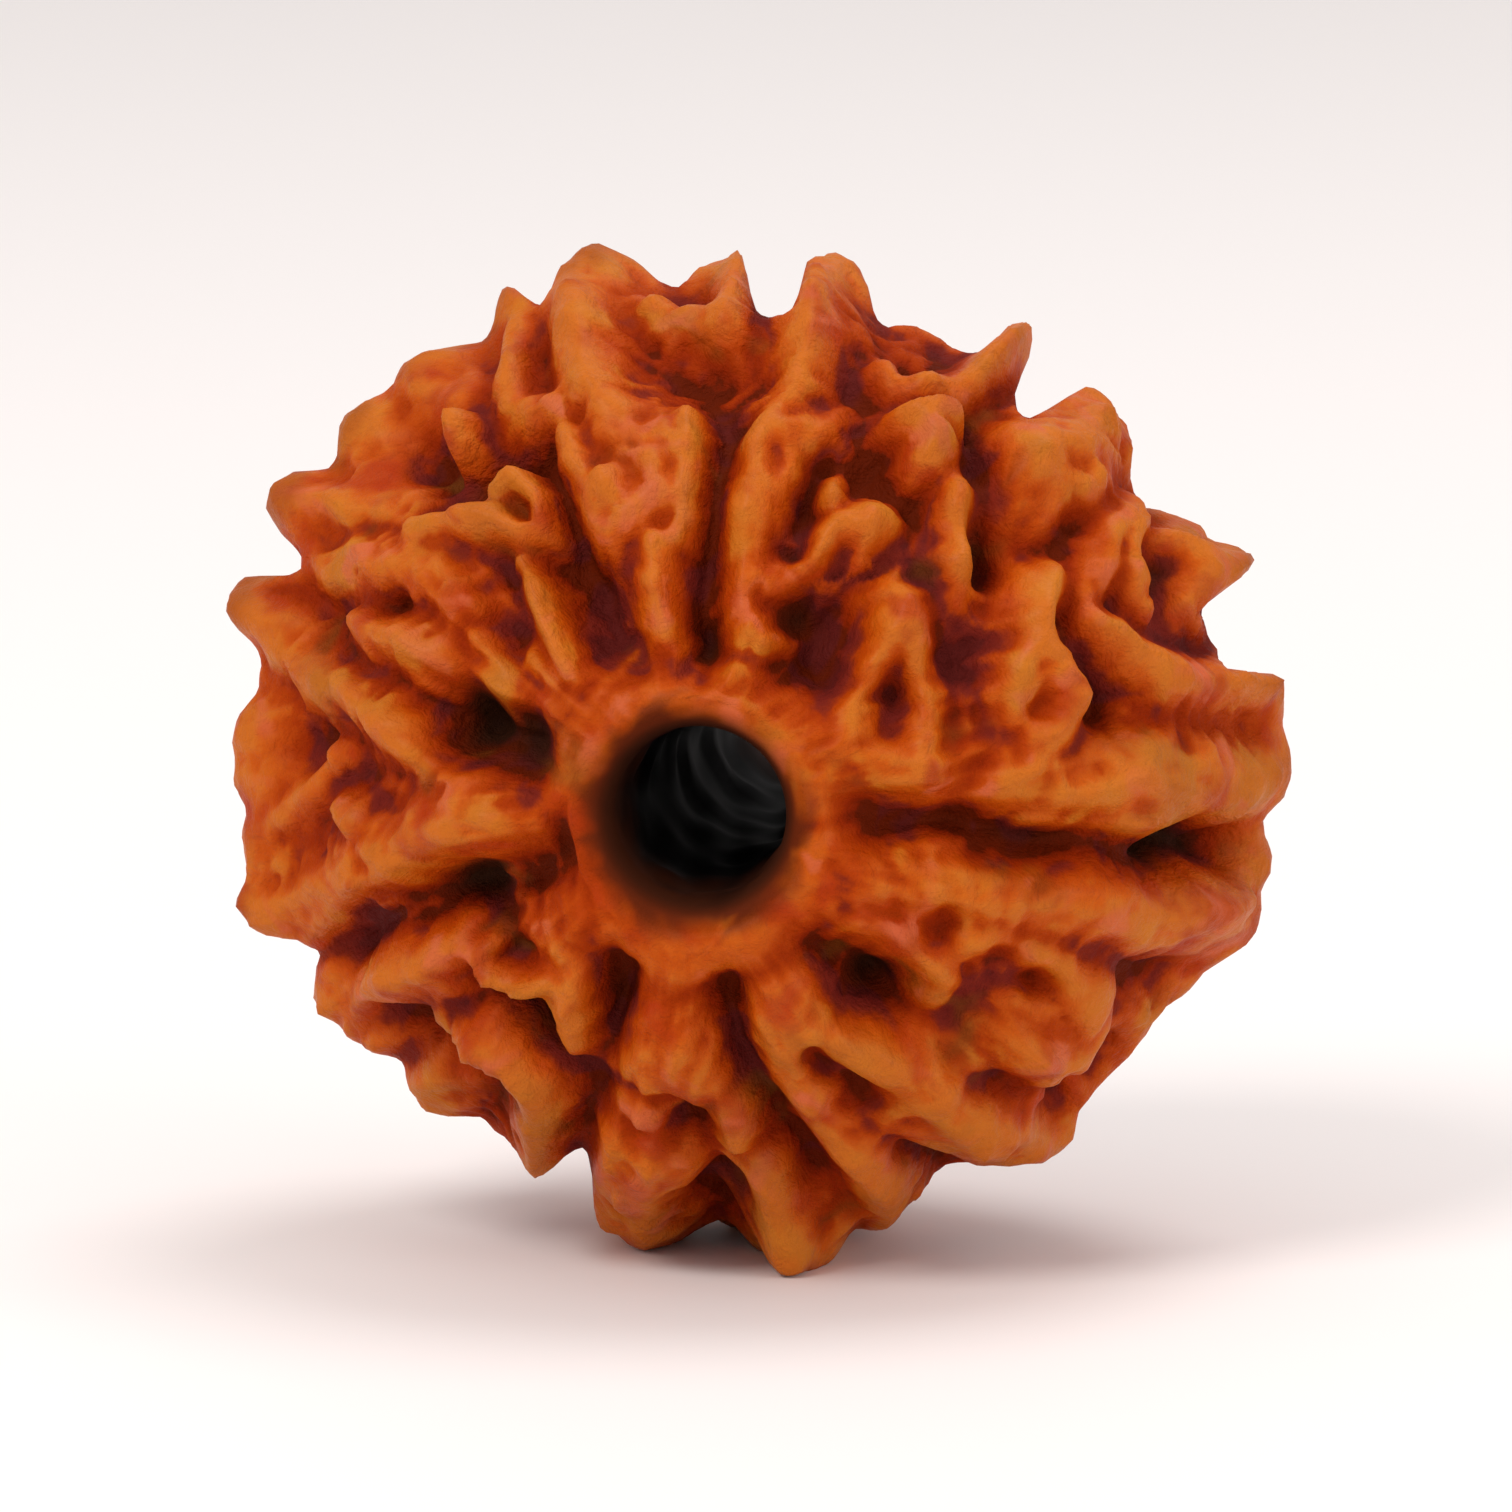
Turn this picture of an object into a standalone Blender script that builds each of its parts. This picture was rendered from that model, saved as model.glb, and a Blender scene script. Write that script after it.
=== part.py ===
"""A rudraksha bead: one grown stone with a hole along Y, standing on its rim. +Z is up.

The surface is one closed sheet over the bearing round the hole and a station along the
meridian. Every point of a mean body is pushed out or in along the normal: crests are raised
over a floor, grooves and pits are cut under it, and the rim keeps to a hand-read outline.
Lengths in the lists are millimetres and angles are degrees. Bearing 0 is +X and 90 is +Z as
seen from the front, latitude -90 is the front mouth of the hole (-Y), +90 the back one.
"""
import bmesh
import bpy
import numpy as np

MM = 0.001
EQUATOR_RADIUS = 13.6
POLE_RADIUS = 11.0
MOUTH_LATITUDE = 75.0
MOUTH_DEPTH = 1.5
FRONT_BORE_RADIUS = 2.35
BACK_BORE_RADIUS = 1.85
STANDING_HEIGHT = 13.75
RESTING_BAND = 0.05 * MM

FLOOR_LEVEL = -1.25
COLLAR_LEVEL = -0.05
COLLAR_START = 66.0
COLLAR_END = 72.0
COLLAR_CALM = 0.5
CREST_SPREAD = 1.12
CREST_SHARPNESS = 1.7
UNION_POWER = 6.0
UNDULATION = 0.1
HOLLOW_WOBBLE = 0.15
HOLLOW_SHARE = 0.95
HOLLOW_CHANGE = 0.2

BEARING_STEPS = 320
OUTSIDE_STEPS = 176
MOUTH_STEPS = 7
BORE_STEPS = 18
TRIANGLES = 11000
SEED = 11
HOLLOW_SEED = 5

# The outline was read from the front right, a little above the middle.
OUTLINE_AZIMUTH = 9.5
OUTLINE_ELEVATION = 9.0
OUTLINE_SOFTNESS = 0.08
RIM_PIECE = 10

# How far the outline reaches from the middle at each bearing round it.
OUTLINE = [
    (3.9, 14.7), (6.3, 14.9), (9.2, 15.1), (10.0, 14.0), (10.8, 13.2), (13.4, 13.1),
    (16.3, 13.0), (18.6, 12.95), (19.4, 13.4), (20.2, 14.1), (21.0, 14.7), (22.0, 14.95),
    (23.3, 14.9), (24.4, 14.7), (26.2, 14.3), (28.4, 13.9), (32.0, 13.35), (35.5, 12.95),
    (37.3, 13.1), (40.2, 13.75), (43.8, 14.15), (46.4, 14.2), (48.0, 14.1), (48.9, 13.7),
    (49.8, 12.9), (51.6, 11.95), (53.4, 12.0), (54.8, 12.4), (55.8, 13.5), (57.1, 14.3),
    (59.0, 14.4), (60.0, 14.0), (60.8, 13.0), (62.4, 12.7), (65.1, 12.7), (67.7, 12.85),
    (70.0, 12.9), (73.3, 12.6), (75.0, 12.8), (76.7, 13.5), (78.5, 14.0), (81.1, 14.4),
    (83.0, 14.5), (84.2, 14.2), (84.9, 12.6), (86.4, 12.3), (89.2, 12.3), (90.6, 12.6),
    (91.2, 13.6), (91.9, 14.25), (93.2, 14.4), (94.3, 14.35), (96.0, 14.1), (97.9, 13.6),
    (99.7, 13.35), (101.8, 13.7), (103.4, 14.3), (105.4, 14.85), (107.5, 15.2),
    (109.1, 15.15), (110.3, 14.9), (111.7, 14.85), (113.7, 14.4), (115.4, 13.95),
    (116.4, 14.3), (117.2, 14.8), (118.2, 15.05), (119.8, 14.85), (122.0, 14.3),
    (124.1, 14.1), (129.3, 14.75), (131.9, 14.9), (135.5, 14.7), (138.0, 14.95),
    (140.0, 15.1), (141.7, 14.95), (144.3, 14.5), (146.0, 14.5), (148.2, 15.3),
    (150.5, 15.6), (153.0, 15.5), (154.6, 15.0), (155.6, 14.0), (157.3, 13.85),
    (158.6, 14.15), (159.5, 14.8), (160.4, 15.3), (162.7, 15.5), (164.5, 15.5),
    (165.7, 15.1), (167.2, 14.5), (169.5, 14.15), (171.7, 14.2), (175.3, 14.6),
    (178.0, 14.75), (182.6, 14.8), (186.5, 14.75), (189.7, 14.6), (191.5, 14.6),
    (193.5, 14.8), (196.0, 15.4), (198.4, 15.35), (199.4, 15.1), (200.4, 14.4),
    (201.6, 13.8), (204.0, 13.4), (205.3, 13.8), (207.1, 14.1), (210.0, 14.4),
    (214.0, 14.4), (217.0, 13.9), (219.3, 13.35), (221.0, 13.2), (223.6, 13.5),
    (226.6, 13.7), (229.0, 13.3), (232.4, 12.7), (236.2, 12.7), (238.4, 12.9),
    (240.5, 13.2), (242.2, 13.3), (243.3, 12.9), (244.4, 12.2), (245.6, 11.9),
    (247.2, 12.05), (248.4, 12.5), (250.1, 13.5), (251.7, 14.05), (253.4, 14.25),
    (256.9, 14.2), (259.8, 13.9), (262.3, 13.6), (266.2, 13.5), (268.8, 13.7),
    (271.1, 14.1), (273.2, 14.4), (276.0, 14.4), (278.3, 14.25), (280.0, 13.9),
    (281.4, 13.5), (286.2, 13.7), (288.9, 13.5), (290.8, 12.95), (292.5, 12.6),
    (294.6, 12.5), (298.2, 12.9), (301.5, 13.3), (305.6, 13.9), (307.6, 14.0),
    (310.0, 13.8), (312.9, 13.35), (316.0, 13.25), (321.0, 13.4), (325.7, 13.3),
    (328.5, 13.4), (330.8, 13.7), (334.4, 13.9), (336.5, 14.2), (338.8, 14.6),
    (341.6, 15.0), (344.2, 15.05), (348.5, 14.7), (351.2, 14.5), (352.8, 14.3),
    (354.2, 14.45), (355.5, 14.8), (358.2, 15.0),
]

# Crests of the front half: half-width, then bearing, latitude and height over the mean body.
FRONT_CRESTS = [
    (1.1, [(110.5, 0, 1.2), (110.5, -10, 0.8), (110, -20, 0.5), (109, -28, 0.4),
           (106.5, -35, 0.2), (106, -43, 0.0), (107, -48, 0.0)]),
    (0.9, [(103, -8, 0.2), (98, -13, 0.0), (93, -15, 0.0)]),
    (0.6, [(92.5, 4, 0.8), (92, -8, 0.4), (91.5, -17, 0.0)]),
    (0.9, [(83, 4, 0.9), (82, -8, 0.7), (81, -16, 0.5), (80, -24, 0.3), (80.5, -31, 0.1)]),
    (0.75, [(83.5, -33, 0.2), (83.7, -40, 0.3), (83.2, -47, 0.3), (82.2, -54, 0.2),
            (80.5, -61, 0.2), (78.5, -67, 0.1)]),
    (0.9, [(78, -36, -0.3), (77.5, -46, -0.3), (76, -52, -0.5)]),
    (0.65, [(100, -68, 0.1), (100.5, -62, 0.2), (100, -56, 0.3)]),
    (1.3, [(103.5, -50, 0.2), (98.5, -49, 0.3), (98, -42, 0.2)]),
    (0.5, [(94.8, -37, 0.3), (94.2, -43, 0.4), (94.5, -50, 0.3), (96, -55, 0.2)]),
    (0.6, [(108, -46, 0.3), (106.5, -52, 0.2)]),
    (0.6, [(116.5, -24, -0.1), (114.5, -32, 0.1), (113, -39, 0.2), (112.3, -46, 0.1),
           (112, -53, -0.1)]),
    (0.7, [(118.5, 4, 1.3), (119, -6, 0.8), (119.5, -14, 0.5), (119.5, -21, 0.3),
           (118.5, -27, 0.1)]),
    (0.5, [(128.5, -21.5, 0.4), (129.5, -24.5, 0.4)]),
    (1.2, [(130, 2, 1.2), (132, -3, 1.0), (129, -9, 0.3)]),
    (0.9, [(140, 3, 1.4), (141.5, -6, 1.0), (143.5, -13, 0.5)]),
    (1.1, [(151.5, 2, 1.8), (149.5, -8, 1.3), (147, -14, 0.6), (143, -20, 0.2),
           (138.5, -26, 0.0)]),
    (0.5, [(126.5, -38, 0.2), (122.5, -38.5, 0.3), (120.5, -43, 0.2), (122, -48, 0.2),
           (126.5, -46.5, 0.2), (130, -42, 0.2)]),
    (0.7, [(130, -41.5, 0.3), (134, -38, 0.2), (138, -34, 0.2), (141, -31.5, 0.0)]),
    (1.2, [(156.5, -4, 0.3), (153.5, -18, 0.3), (149, -28, 0.2), (144.5, -35, 0.1),
           (141.5, -42, -0.1), (141, -48, -0.3)]),
    (1.0, [(162.5, -2, 1.9), (165, -10, 1.3), (167, -20, 0.5), (168, -28, 0.2)]),
    (0.85, [(157, -28, -0.2), (157, -37, 0.1), (153.5, -45, 0.2), (153, -52, 0.2),
            (152, -58, 0.2), (149.5, -63, 0.1), (145, -68, 0.1)]),
    (0.45, [(129, -49.5, 0.1), (129.5, -56, 0.3), (131, -61.5, 0.3), (132.5, -67.5, 0.2)]),
    (0.6, [(145, -54, 0.0), (147, -59, 0.0)]),
    (0.6, [(141, -61, 0.0), (139, -66, 0.0)]),
    (0.8, [(166, -34, 0.0), (166.5, -41, 0.1), (168.5, -47, 0.3), (171.5, -53, 0.2),
           (174.5, -59, 0.3), (176, -65, 0.2), (176, -70, 0.1)]),
    (1.4, [(192, -46, 0.2), (189.5, -52, 0.4), (186.5, -57, 0.5), (184, -61, 0.5),
           (180, -66, 0.3), (175, -71, 0.1)]),
    (0.7, [(185.5, -40, 0.0), (184, -35, -0.1)]),
    (0.7, [(177, -33, -0.2), (182, -27, 0.0), (186.5, -18, 0.3), (189.5, -9, 0.7)]),
    (1.4, [(196.5, -5, 1.7), (198, -14, 0.9), (197.5, -22, 0.5), (196, -30, 0.3),
           (194.5, -37, 0.2)]),
    (1.0, [(211, -20, 0.1), (209.5, -28, 0.2), (210, -37, 0.3), (211, -45, 0.3),
           (210, -51, 0.0)]),
    (0.5, [(213.5, -56, 0.0), (215, -53, 0.1), (219.5, -53.5, 0.2), (224, -56, 0.2),
           (228.5, -60, 0.1)]),
    (1.0, [(219.5, -63, 0.1), (223, -66, 0.2), (219, -71, 0.1)]),
    (1.4, [(211, 2, 0.9), (212, -8, 0.8), (215, -14, 0.3)]),
    (0.9, [(222.5, -38, -0.2), (227.5, -42, 0.0), (233, -44.5, 0.1), (238.5, -44, 0.3),
           (241.5, -40, 0.5), (243.5, -33, 0.6), (244, -26, 0.5), (243.6, -19, 0.2),
           (243.2, -12, -0.2)]),
    (1.2, [(226, -10, 0.2), (226, -24, -0.2)]),
    (1.1, [(230, -70, 0.1), (234, -64, 0.2), (237.5, -59, 0.2), (239.5, -55.5, 0.1)]),
    (1.5, [(261, -69, 0.1), (261.5, -62, 0.2), (259.5, -56, 0.1)]),
    (1.0, [(267.5, -60, 0.1), (268.5, -54.5, 0.0)]),
    (0.8, [(257, -47.5, 0.2), (260, -47, 0.1)]),
    (0.9, [(275, -48, 0.1), (273.5, -44, 0.1)]),
    (1.6, [(257, -5, 0.6), (256.5, -18, 0.3), (256, -28, 0.3), (256.5, -37, 0.3)]),
    (1.0, [(262, -38, 0.1), (264, -33, -0.1)]),
    (0.5, [(276.5, -38, 0.0), (275, -32, 0.3), (275, -26, 0.4), (276, -19, 0.4)]),
    (1.5, [(277, -21, 1.3), (277.5, -15, 1.1), (279, -8, 0.6)]),
    (1.0, [(288.5, -44, 0.0), (290, -38, 0.3), (291, -30, 0.4), (289.5, -20, 0.5),
           (287, -10, 0.3)]),
    (0.9, [(293, -72, 0.1), (289.5, -66, 0.2), (287, -60, 0.2), (286, -54, 0.1),
           (288.5, -49, 0.1)]),
    (0.9, [(298, -67, 0.1), (297, -60, 0.2), (300, -57, 0.2), (303.5, -52, 0.2),
           (304.5, -48, 0.1)]),
    (1.5, [(306, -46, 0.2), (307, -39, 0.3), (307, -31, 0.4), (308, -22, 0.5),
           (307, -12, 0.4), (306, -3, 0.3)]),
    (0.9, [(327, -59, 0.2), (325, -55, 0.3), (321.5, -51.5, 0.2)]),
    (0.8, [(322, -71, 0.1), (326, -66, 0.1), (329.5, -61, 0.2)]),
    (0.75, [(334, -53, 0.1), (336, -50, 0.2), (335, -45, 0.3), (334, -40, 0.3),
            (333, -35, 0.2)]),
    (1.5, [(330, -30, 0.2), (325, -27, 0.3), (323, -36, 0.3)]),
    (0.8, [(320.5, -34, 0.5), (318.5, -27, 0.2)]),
    (1.5, [(336, -71, 0.1), (339, -66, 0.2), (342, -60, 0.2), (344, -53, 0.2),
           (345.5, -46, 0.2), (346, -39, 0.3), (345, -31, 0.3), (344.5, -23, 0.5),
           (345, -13, 0.8), (345, -3, 1.2)]),
    (1.6, [(3.5, -49, 0.2), (1.5, -43, 0.3), (1.5, -36, 0.3), (2, -29, 0.4), (1, -21, 0.3),
           (0, -10, 0.7), (-1, 0, 1.1)]),
    (0.5, [(-2.5, -48, 0.3), (-3.2, -38, 0.3), (-3.2, -29, 0.3)]),
    (0.9, [(14, -22, 0.1), (12.5, -16, 0.4), (11, -8, 0.8), (9.5, 2, 1.3)]),
    (0.8, [(22.5, 5, 1.4), (25, -2, 0.9), (29, -7, 0.5)]),
    (1.2, [(22.5, 4, 1.4), (24, -4, 1.1), (26, -11, 0.8), (27, -17, 0.5)]),
    (0.5, [(33, -10, 0.3), (31.5, -17, 0.2), (26.5, -20.5, 0.2), (24, -19.5, 0.1)]),
    (1.5, [(45.5, 4, 0.7), (45.5, -6, 0.5), (46, -14, 0.5), (46.5, -22, 0.4), (45, -28, 0.1)]),
    (0.8, [(41.5, -10, 0.1), (40.5, -18, 0.2)]),
    (0.55, [(58.5, 4, 0.9), (59.5, -6, 0.6), (60.5, -13, 0.3)]),
    (0.7, [(69, -20, 0.0), (65, -20, 0.1), (61.5, -16.5, 0.1)]),
    (0.55, [(64, -29, 0.4), (61.5, -26.5, 0.5), (59, -24.5, 0.4)]),
    (0.75, [(61.5, -29.5, 0.4), (59, -31, 0.4), (59, -35, 0.2)]),
    (0.8, [(60.5, -45, 0.3), (63, -50, 0.4), (66, -54, 0.3), (69.5, -57, 0.2),
           (73, -60, 0.1)]),
    (0.6, [(69, -45, 0.1), (70, -43, 0.0)]),
    (0.9, [(51, -34.5, 0.3), (50, -39, 0.4), (46.5, -42, 0.3), (43.5, -45, 0.2),
           (42, -49, 0.0)]),
    (0.85, [(34.5, -33, 0.2), (32, -38, 0.4), (28, -41, 0.3), (23, -41, 0.3),
            (18.5, -39, 0.4), (15, -41, 0.2), (12, -45, 0.3), (8, -48, 0.2)]),
    (0.8, [(23, -45, 0.3), (20, -47.5, 0.1)]),
    (0.8, [(26, -31, 0.1), (23, -28.5, 0.3), (20, -26.5, 0.4), (17, -23, 0.4),
           (14.5, -19, 0.3)]),
    (0.9, [(35, -8, 0.2), (34, -16, 0.2), (32.5, -23, 0.2), (30, -29, 0.1)]),
    (0.65, [(46.5, -53, 0.5), (44.5, -57.5, 0.5), (41.5, -62, 0.4), (36, -67, 0.3),
            (28, -71, 0.2)]),
    (0.6, [(46.5, -53, 0.5), (37, -56, 0.4), (28.5, -58, 0.3), (20, -60, 0.3),
           (11, -62.5, 0.2)]),
    (0.9, [(45.5, -53.5, 0.5), (44.5, -55, 0.5)]),
    (1.5, [(12, -61, 0.2), (14, -66, 0.2), (16, -71, 0.1)]),
    (1.0, [(29, -66, 0.0), (29, -71, 0.1)]),
    (0.8, [(76, -65, 0.2), (70, -67, 0.1)]),
]

# Low lobes under the weight, cut flat where they meet the ground.
REST_CRESTS = [
    (1.5, [(258, -7, 0.9), (257.5, 1, 0.9)]),
    (1.4, [(277, -21, 1.5), (277.5, -15, 1.2)]),
    (0.9, [(277, -35, 0.2), (276.5, -28, 0.7), (277, -21, 1.3)]),
    (1.2, [(279, 3, 0.6), (281, 11, 1.4), (281, 18, 1.9), (280, 24, 2.1), (278.5, 32, 1.1),
           (278, 41, 0.5)]),
    (1.2, [(256.5, 4, 0.7), (254.5, 11, 1.2), (253, 19, 2.1), (252, 25, 1.7), (250.5, 33, 0.9),
           (250, 42, 0.4)]),
    (0.9, [(266, 9, 0.5), (267, 16, 0.9), (266, 24, 0.7), (267, 33, 0.4)]),
]

# Grooves and pits of the front half: half-width, depth, then bearing and latitude.
FRONT_HOLLOWS = [
    (0.75, 1.1, [(90, -70), (90.5, -64), (90.3, -57), (89.8, -50), (88.8, -43), (88.3, -36)]),
    (1.2, 0.7, [(93, -27), (88, -30)]),
    (0.55, 0.8, [(114, -70), (116.5, -63), (118, -56), (118.5, -50), (118, -42),
                 (117.5, -33)]),
    (0.6, 0.6, [(118.5, -20), (117.5, -12)]),
    (0.4, 0.5, [(110.5, -34), (109.3, -40)]),
    (0.75, 1.1, [(196, -72), (198, -66), (199, -58), (200, -50), (200.5, -41), (202, -32),
                 (205, -25)]),
    (0.9, 0.8, [(207.5, -57), (212, -61), (216, -62)]),
    (0.65, 1.0, [(244, -68), (246, -62), (248, -55), (248, -47), (247.5, -38),
                 (246.5, -25)]),
    (0.65, 1.0, [(279.5, -68.5), (278, -63), (279.5, -58), (282, -52), (283, -42),
                 (284, -33), (284, -24)]),
    (0.65, 1.1, [(0, -69), (-1.5, -64), (-3, -58), (-4.5, -53), (-5.5, -46), (-6, -38),
                 (-6.8, -28), (-7.6, -19), (-8.6, -9), (-9.2, -2)]),
    (0.5, 0.35, [(-6.8, -30), (-7.6, -19), (-8.6, -9), (-9.2, -2)]),
    (0.8, 0.5, [(47, -50.5), (40, -51), (33, -54), (28, -58), (21, -56.5), (14, -56),
                (7, -57.5)]),
    (0.55, 1.0, [(56.5, -21), (53, -27.5), (49.5, -32.5), (45, -37), (40.5, -40.5)]),
    (0.4, 0.7, [(27, -36), (23.5, -35.5), (20, -35), (17, -33.5), (14, -32.5)]),
    (0.4, 0.6, [(72.5, -40), (71.5, -47), (73, -54)]),
    (0.45, 0.6, [(160, -6), (158.5, -16), (158, -26)]),
    (0.45, 0.6, [(219, -49), (225, -50.5), (232, -52.5), (238, -50.5), (242.5, -49.5)]),
    (0.5, 0.7, [(216, -24), (218, -31)]),
    (0.5, 0.6, [(312.5, -36), (314, -30), (314.5, -22), (313.5, -10)]),
    (0.45, 0.5, [(188, -4), (188.5, 2)]),
    (0.4, 0.4, [(258.5, -51), (263, -51)]),
    (1.1, 2.2, [(158.5, -56.5), (159.5, -60), (160, -64)]),
    (0.8, 1.2, [(164.5, -56.5), (163, -59)]),
    (0.7, 1.0, [(230, -52), (233.5, -51.5)]),
    (0.9, 1.2, [(269, -30), (268.5, -22), (268, -12)]),
    (0.6, 0.9, [(298, -46), (298.5, -45)]),
    (1.0, 1.3, [(316, -67), (315, -61)]),
    (0.8, 0.7, [(314, -57), (320, -48)]),
    (0.5, 0.5, [(335, -57), (334, -56)]),
    (0.55, 0.9, [(332.5, -46), (330, -40)]),
    (0.6, 1.7, [(27, -11.5), (26, -13.5)]),
    (0.9, 1.3, [(63.5, -39), (60, -41.5), (57, -40)]),
    (0.5, 0.9, [(61.5, -52), (61.5, -54)]),
    (1.1, 1.3, [(64, -62), (57, -62), (54, -67)]),
    (0.8, 0.6, [(42.5, -32.5), (38, -32)]),
    (0.35, 0.6, [(17, -46), (17, -45)]),
    (0.45, 0.45, [(34, -62.5), (28, -65)]),
    (0.5, 0.7, [(128, -34), (128, -33)]),
    (0.8, 0.9, [(137, -19), (135, -27), (131.5, -31), (126.5, -31.5), (122.5, -31)]),
    (0.6, 0.8, [(132.5, -48), (128, -49.5)]),
    (0.4, 0.6, [(151, -38.5), (150, -39.5)]),
    (0.7, 0.6, [(138.5, -55), (140, -58)]),
    (0.6, 0.5, [(183, -47.5), (183, -45.5)]),
    (0.7, 0.7, [(174.5, -27), (175, -20)]),
    (0.5, 0.8, [(217, -60), (217, -58)]),
    (0.7, 0.5, [(221, -30), (223, -36)]),
    (0.6, 0.8, [(263.5, -45.5), (266, -45.5)]),
    (0.5, 0.5, [(297, -54), (297, -52)]),
    (0.8, 0.6, [(134, -15), (134, -13)]),
    (0.4, 0.45, [(123.5, -43), (123.5, -42)]),
    (0.5, 0.4, [(67, -16), (67, -14)]),
    (0.5, 0.5, [(71.5, -24), (71.5, -22)]),
    (0.4, 0.4, [(76, -57), (76, -55)]),
    (0.55, 0.6, [(322, -19), (320.5, -12), (321.5, -6)]),
    (0.5, 0.55, [(334, -20), (333, -12), (334.5, -6)]),
    (0.5, 0.6, [(297.5, -30), (299, -20), (298, -10)]),
    (0.55, 0.6, [(325, 7), (324, 14), (326, 20)]),
]


def mean_points(bearing, latitude):
    """Points of the mean body, in millimetres from its middle."""
    turn = np.radians(bearing)
    rise = np.radians(latitude)
    across = EQUATOR_RADIUS * np.cos(rise)
    return np.stack([across * np.cos(turn), POLE_RADIUS * np.sin(rise) + 0.0 * turn,
                     across * np.sin(turn)], axis=-1)


def meridian():
    """The closed meridian as radius, distance along Y, latitude and a share that is outside."""
    latitude = np.linspace(-MOUTH_LATITUDE, MOUTH_LATITUDE, OUTSIDE_STEPS)
    rise = np.radians(latitude)
    radius = EQUATOR_RADIUS * np.cos(rise)
    along = POLE_RADIUS * np.sin(rise)
    bend = np.linspace(0.0, 0.5 * np.pi, MOUTH_STEPS + 1)[1:]
    narrowing = radius[-1] - np.array([[FRONT_BORE_RADIUS], [BACK_BORE_RADIUS]])
    front_lip, back_lip = radius[-1] - narrowing * np.sin(bend)
    lip_along = along[-1] - MOUTH_DEPTH * (1.0 - np.cos(bend))
    deep = np.linspace(1.0, -1.0, BORE_STEPS)[1:-1]
    bore_radius = np.interp(deep, [-1.0, 1.0], [FRONT_BORE_RADIUS, BACK_BORE_RADIUS])
    bore_along = deep * lip_along[-1]
    radius = np.concatenate([radius, back_lip, bore_radius, front_lip[::-1]])
    along = np.concatenate([along, lip_along, bore_along, -lip_along[::-1]])
    inside = np.zeros(len(radius) - len(latitude))
    outside = np.concatenate([np.ones(len(latitude)), inside])
    latitude = np.concatenate([latitude, inside + 90.0])
    return radius, along, latitude, outside


def meridian_normals(radius, along):
    """Outward normals of the closed meridian, from its neighbours on both sides."""
    step_radius = np.roll(radius, -1) - np.roll(radius, 1)
    step_along = np.roll(along, -1) - np.roll(along, 1)
    length = np.hypot(step_radius, step_along)
    return step_along / length, -step_radius / length


def nearest(points, path, heights):
    """Distance from every point to a path of chords, and the height read at the nearest place."""
    best = np.full(points.shape[0], np.inf)
    value = np.zeros(points.shape[0])
    for start, end, low, high in zip(path[:-1], path[1:], heights[:-1], heights[1:]):
        chord = end - start
        share = np.clip((points - start) @ chord / max(chord @ chord, 1e-9), 0.0, 1.0)
        gap = np.linalg.norm(points - start - share[:, None] * chord, axis=1)
        closer = gap < best
        best = np.where(closer, gap, best)
        value = np.where(closer, low + share * (high - low), value)
    return best, value


def raise_crests(points, floor, crests):
    """Union of rounded crests over the floor: the root of the sum of powers of their heights."""
    total = np.zeros(points.shape[0])
    for half_width, line in crests:
        half_width = half_width * CREST_SPREAD
        line = np.array(line, dtype=float)
        path = mean_points(line[:, 0], line[:, 1])
        middle = path.mean(axis=0)
        reach = np.linalg.norm(path - middle, axis=1).max() + 4.0 * half_width
        near = np.linalg.norm(points - middle, axis=1) < reach
        gap, height = nearest(points[near], path, line[:, 2])
        shape = np.exp(-np.log(2.0) * (gap / half_width) ** CREST_SHARPNESS)
        total[near] += (np.maximum(height - floor[near], 0.0) * shape) ** UNION_POWER
    return floor + total ** (1.0 / UNION_POWER)


def hollow_cut(points, hollows):
    """Depth of the grooves and pits, each a rounded channel that wanders about its path."""
    rng = np.random.default_rng(HOLLOW_SEED)
    push = np.stack([wave_sum(points, rng, 2.5, 5.0, 6) for _ in range(3)], axis=-1)
    pushed = points + HOLLOW_WOBBLE * push
    cut = np.zeros(points.shape[0])
    for half_width, depth, line in hollows:
        line = np.array(line, dtype=float)
        path = mean_points(line[:, 0], line[:, 1])
        middle = path.mean(axis=0)
        reach = np.linalg.norm(path - middle, axis=1).max() + 5.0 * half_width
        near = np.linalg.norm(pushed - middle, axis=1) < reach
        gap, _ = nearest(pushed[near], path, np.zeros(len(line)))
        cut[near] += depth * np.exp(-np.log(2.0) * (gap / half_width) ** 2)
    return cut * (HOLLOW_SHARE + HOLLOW_CHANGE * wave_sum(points, rng, 3.0, 6.0, 8))


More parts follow.
